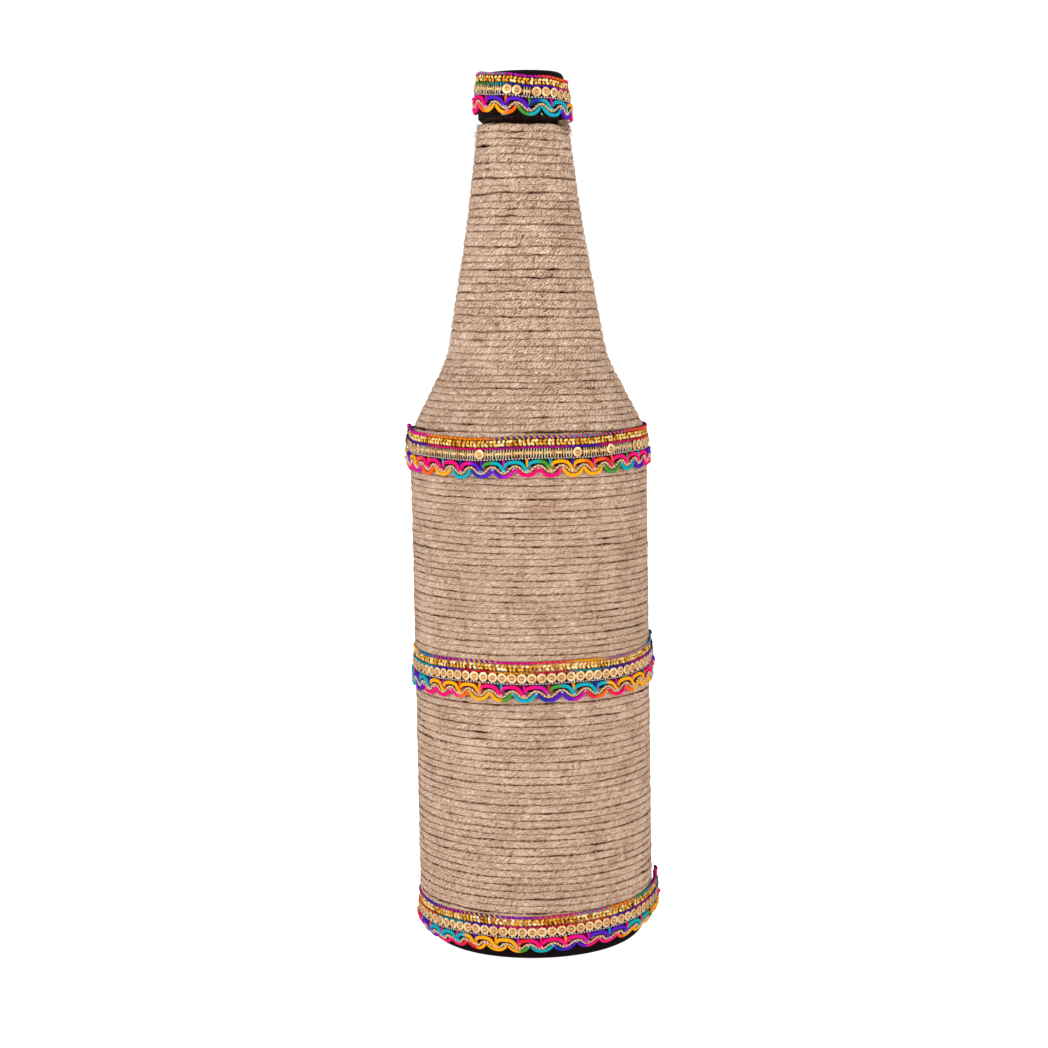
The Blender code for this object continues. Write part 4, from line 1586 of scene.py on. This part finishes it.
@dataclass
class Studio:
    """A white sweep, soft lights and the camera."""

    distance: float = 700 * MM
    camera_side: float = -1.9 * MM
    camera_height: float = 208.9 * MM
    pitch: float = math.radians(6)
    roll: float = math.radians(1.03)
    focal_pixels: float = 2166.0
    frame_pixels: float = 1048.0
    sensor: float = 36.0
    backdrop: float = 1.1
    room_light: float = 0.72
    flag_light: float = 0.07
    floor_glow: float = 0.50

    def camera(self) -> None:
        """Places the camera where the bottle was seen from."""
        data = bpy.data.cameras.new("camera")
        data.sensor_width = self.sensor
        data.lens = self.sensor * self.focal_pixels / self.frame_pixels
        data.clip_start = 0.01
        data.clip_end = 50
        camera = bpy.data.objects.new("camera", data)
        turn = Euler((math.pi / 2 - self.pitch, 0, 0)).to_matrix() @ Euler((0, 0, -self.roll)).to_matrix()
        camera.matrix_world = turn.to_4x4()
        camera.location = (self.camera_side, -self.distance, self.camera_height)
        bpy.context.scene.collection.objects.link(camera)
        bpy.context.scene.camera = camera

    def light(self, name: str, place: tuple, aim: float, size: tuple, watts: float, colour: str) -> None:
        """Hangs one soft rectangular light.

        Args:
            name: The light's name.
            place: Where it hangs.
            aim: The height on the bottle's axis that it points at.
            size: Its width and height.
            watts: Its power.
            colour: Its colour.
        """
        data = bpy.data.lights.new(name, "AREA")
        data.shape = "RECTANGLE"
        data.size, data.size_y = size
        data.energy = watts
        data.color = linear(colour)[:3]
        lamp = bpy.data.objects.new(name, data)
        lamp.visible_glossy = name in ("key_softbox", "fill_softbox")
        lamp.location = place
        ahead = np.array((0, 0, aim)) - np.array(place)
        level = math.hypot(ahead[0], ahead[1])
        lamp.rotation_euler = (math.atan2(level, -ahead[2]), 0, math.atan2(-ahead[0], ahead[1]))
        bpy.context.scene.collection.objects.link(lamp)

    def floor(self) -> None:
        """Lays the pale floor under the foot."""
        bpy.ops.object.select_all(action="DESELECT")
        bpy.ops.mesh.primitive_plane_add(size=12, location=(0, 0, 0))
        floor = bpy.context.object
        floor.name = "studio_floor"
        paint = bpy.data.materials.new("white_paper")
        paint.use_nodes = True
        shader = paint.node_tree.nodes["Principled BSDF"]
        shader.inputs["Roughness"].default_value = 0.9
        shader.inputs["Emission Color"].default_value = linear("#FFFFFF")
        # Lit from below like a light table, and dark in what the glass and the metal reflect
        ray = add_node(paint.node_tree, "LightPath")
        seen = add_node(paint.node_tree, "Math", {"operation": "MULTIPLY_ADD"}, {
            0: ray.outputs["Is Glossy Ray"], 1: -0.97, 2: 1.0})
        glow = add_node(paint.node_tree, "Math", {"operation": "MULTIPLY_ADD"}, {
            0: ray.outputs["Is Camera Ray"], 1: 0.45, 2: self.floor_glow})
        glow = add_node(paint.node_tree, "Math", {"operation": "MULTIPLY"}, {
            0: seen.outputs["Value"], 1: glow.outputs["Value"]})
        paint.node_tree.links.new(seen.outputs["Value"], shader.inputs["Base Color"])
        paint.node_tree.links.new(glow.outputs["Value"], shader.inputs["Emission Strength"])
        floor.data.materials.append(paint)

    def build(self) -> None:
        """Sets up floor, world, lights and camera."""
        scene = bpy.context.scene
        scene.view_settings.view_transform = "Standard"
        world = bpy.data.worlds.new("white_room")
        world.use_nodes = True
        tree = world.node_tree
        # The backdrop is white, the room round it is a little dimmer, and dark flags show in the gloss
        ray = add_node(tree, "LightPath")
        room = add_node(tree, "Math", {"operation": "MULTIPLY_ADD"}, {
            0: ray.outputs["Is Glossy Ray"], 1: self.flag_light - self.room_light, 2: self.room_light})
        room = add_node(tree, "Math", {"operation": "MULTIPLY_ADD"}, {
            0: ray.outputs["Is Camera Ray"], 1: self.backdrop - self.room_light, 2: room.outputs["Value"]})
        tree.nodes["Background"].inputs["Color"].default_value = linear("#FFFFFF")
        tree.links.new(room.outputs["Value"], tree.nodes["Background"].inputs["Strength"])
        scene.world = world
        self.floor()
        for lamp in (
            ("key_softbox", (-0.62, -0.64, 0.36), 0.18, (0.34, 0.26), 3.0, "#FFFFFF"),
            ("fill_softbox", (0.71, -0.56, 0.36), 0.18, (0.16, 0.30), 2.0, "#FFFFFF"),
            ("left_softbox", (-0.95, -0.10, 0.30), 0.14, (0.4, 0.7), 1.3, "#D6E4FF"),
            ("right_softbox", (0.95, -0.10, 0.30), 0.14, (0.4, 0.7), 0.8, "#FFFFFF"),
            ("top_softbox", (0.0, -0.35, 1.1), 0.1, (0.4, 0.4), 1.8, "#FFFFFF"),
        ):
            self.light(*lamp)
        self.camera()


def main() -> None:
    """Builds the bottle, its twine, its trims and the studio."""
    logging.basicConfig(level=logging.INFO, format="%(message)s")
    lengths = trims()
    heights = {trim.place: trim.top - trim.tape_foot / 2 for trim in lengths}
    bottle = Bottle()
    bottle.build()
    TwineWinding(WoundPath(bottle), bottle, heights[Place.SHOULDER], heights[Place.WAIST]).build()
    leaf, disc = model_leaf(), model_sequin(lengths[0].sequin_radius)
    for trim in lengths:
        trim.build(leaf, disc)
    Studio().build()


if __name__ == "__main__":
    main()
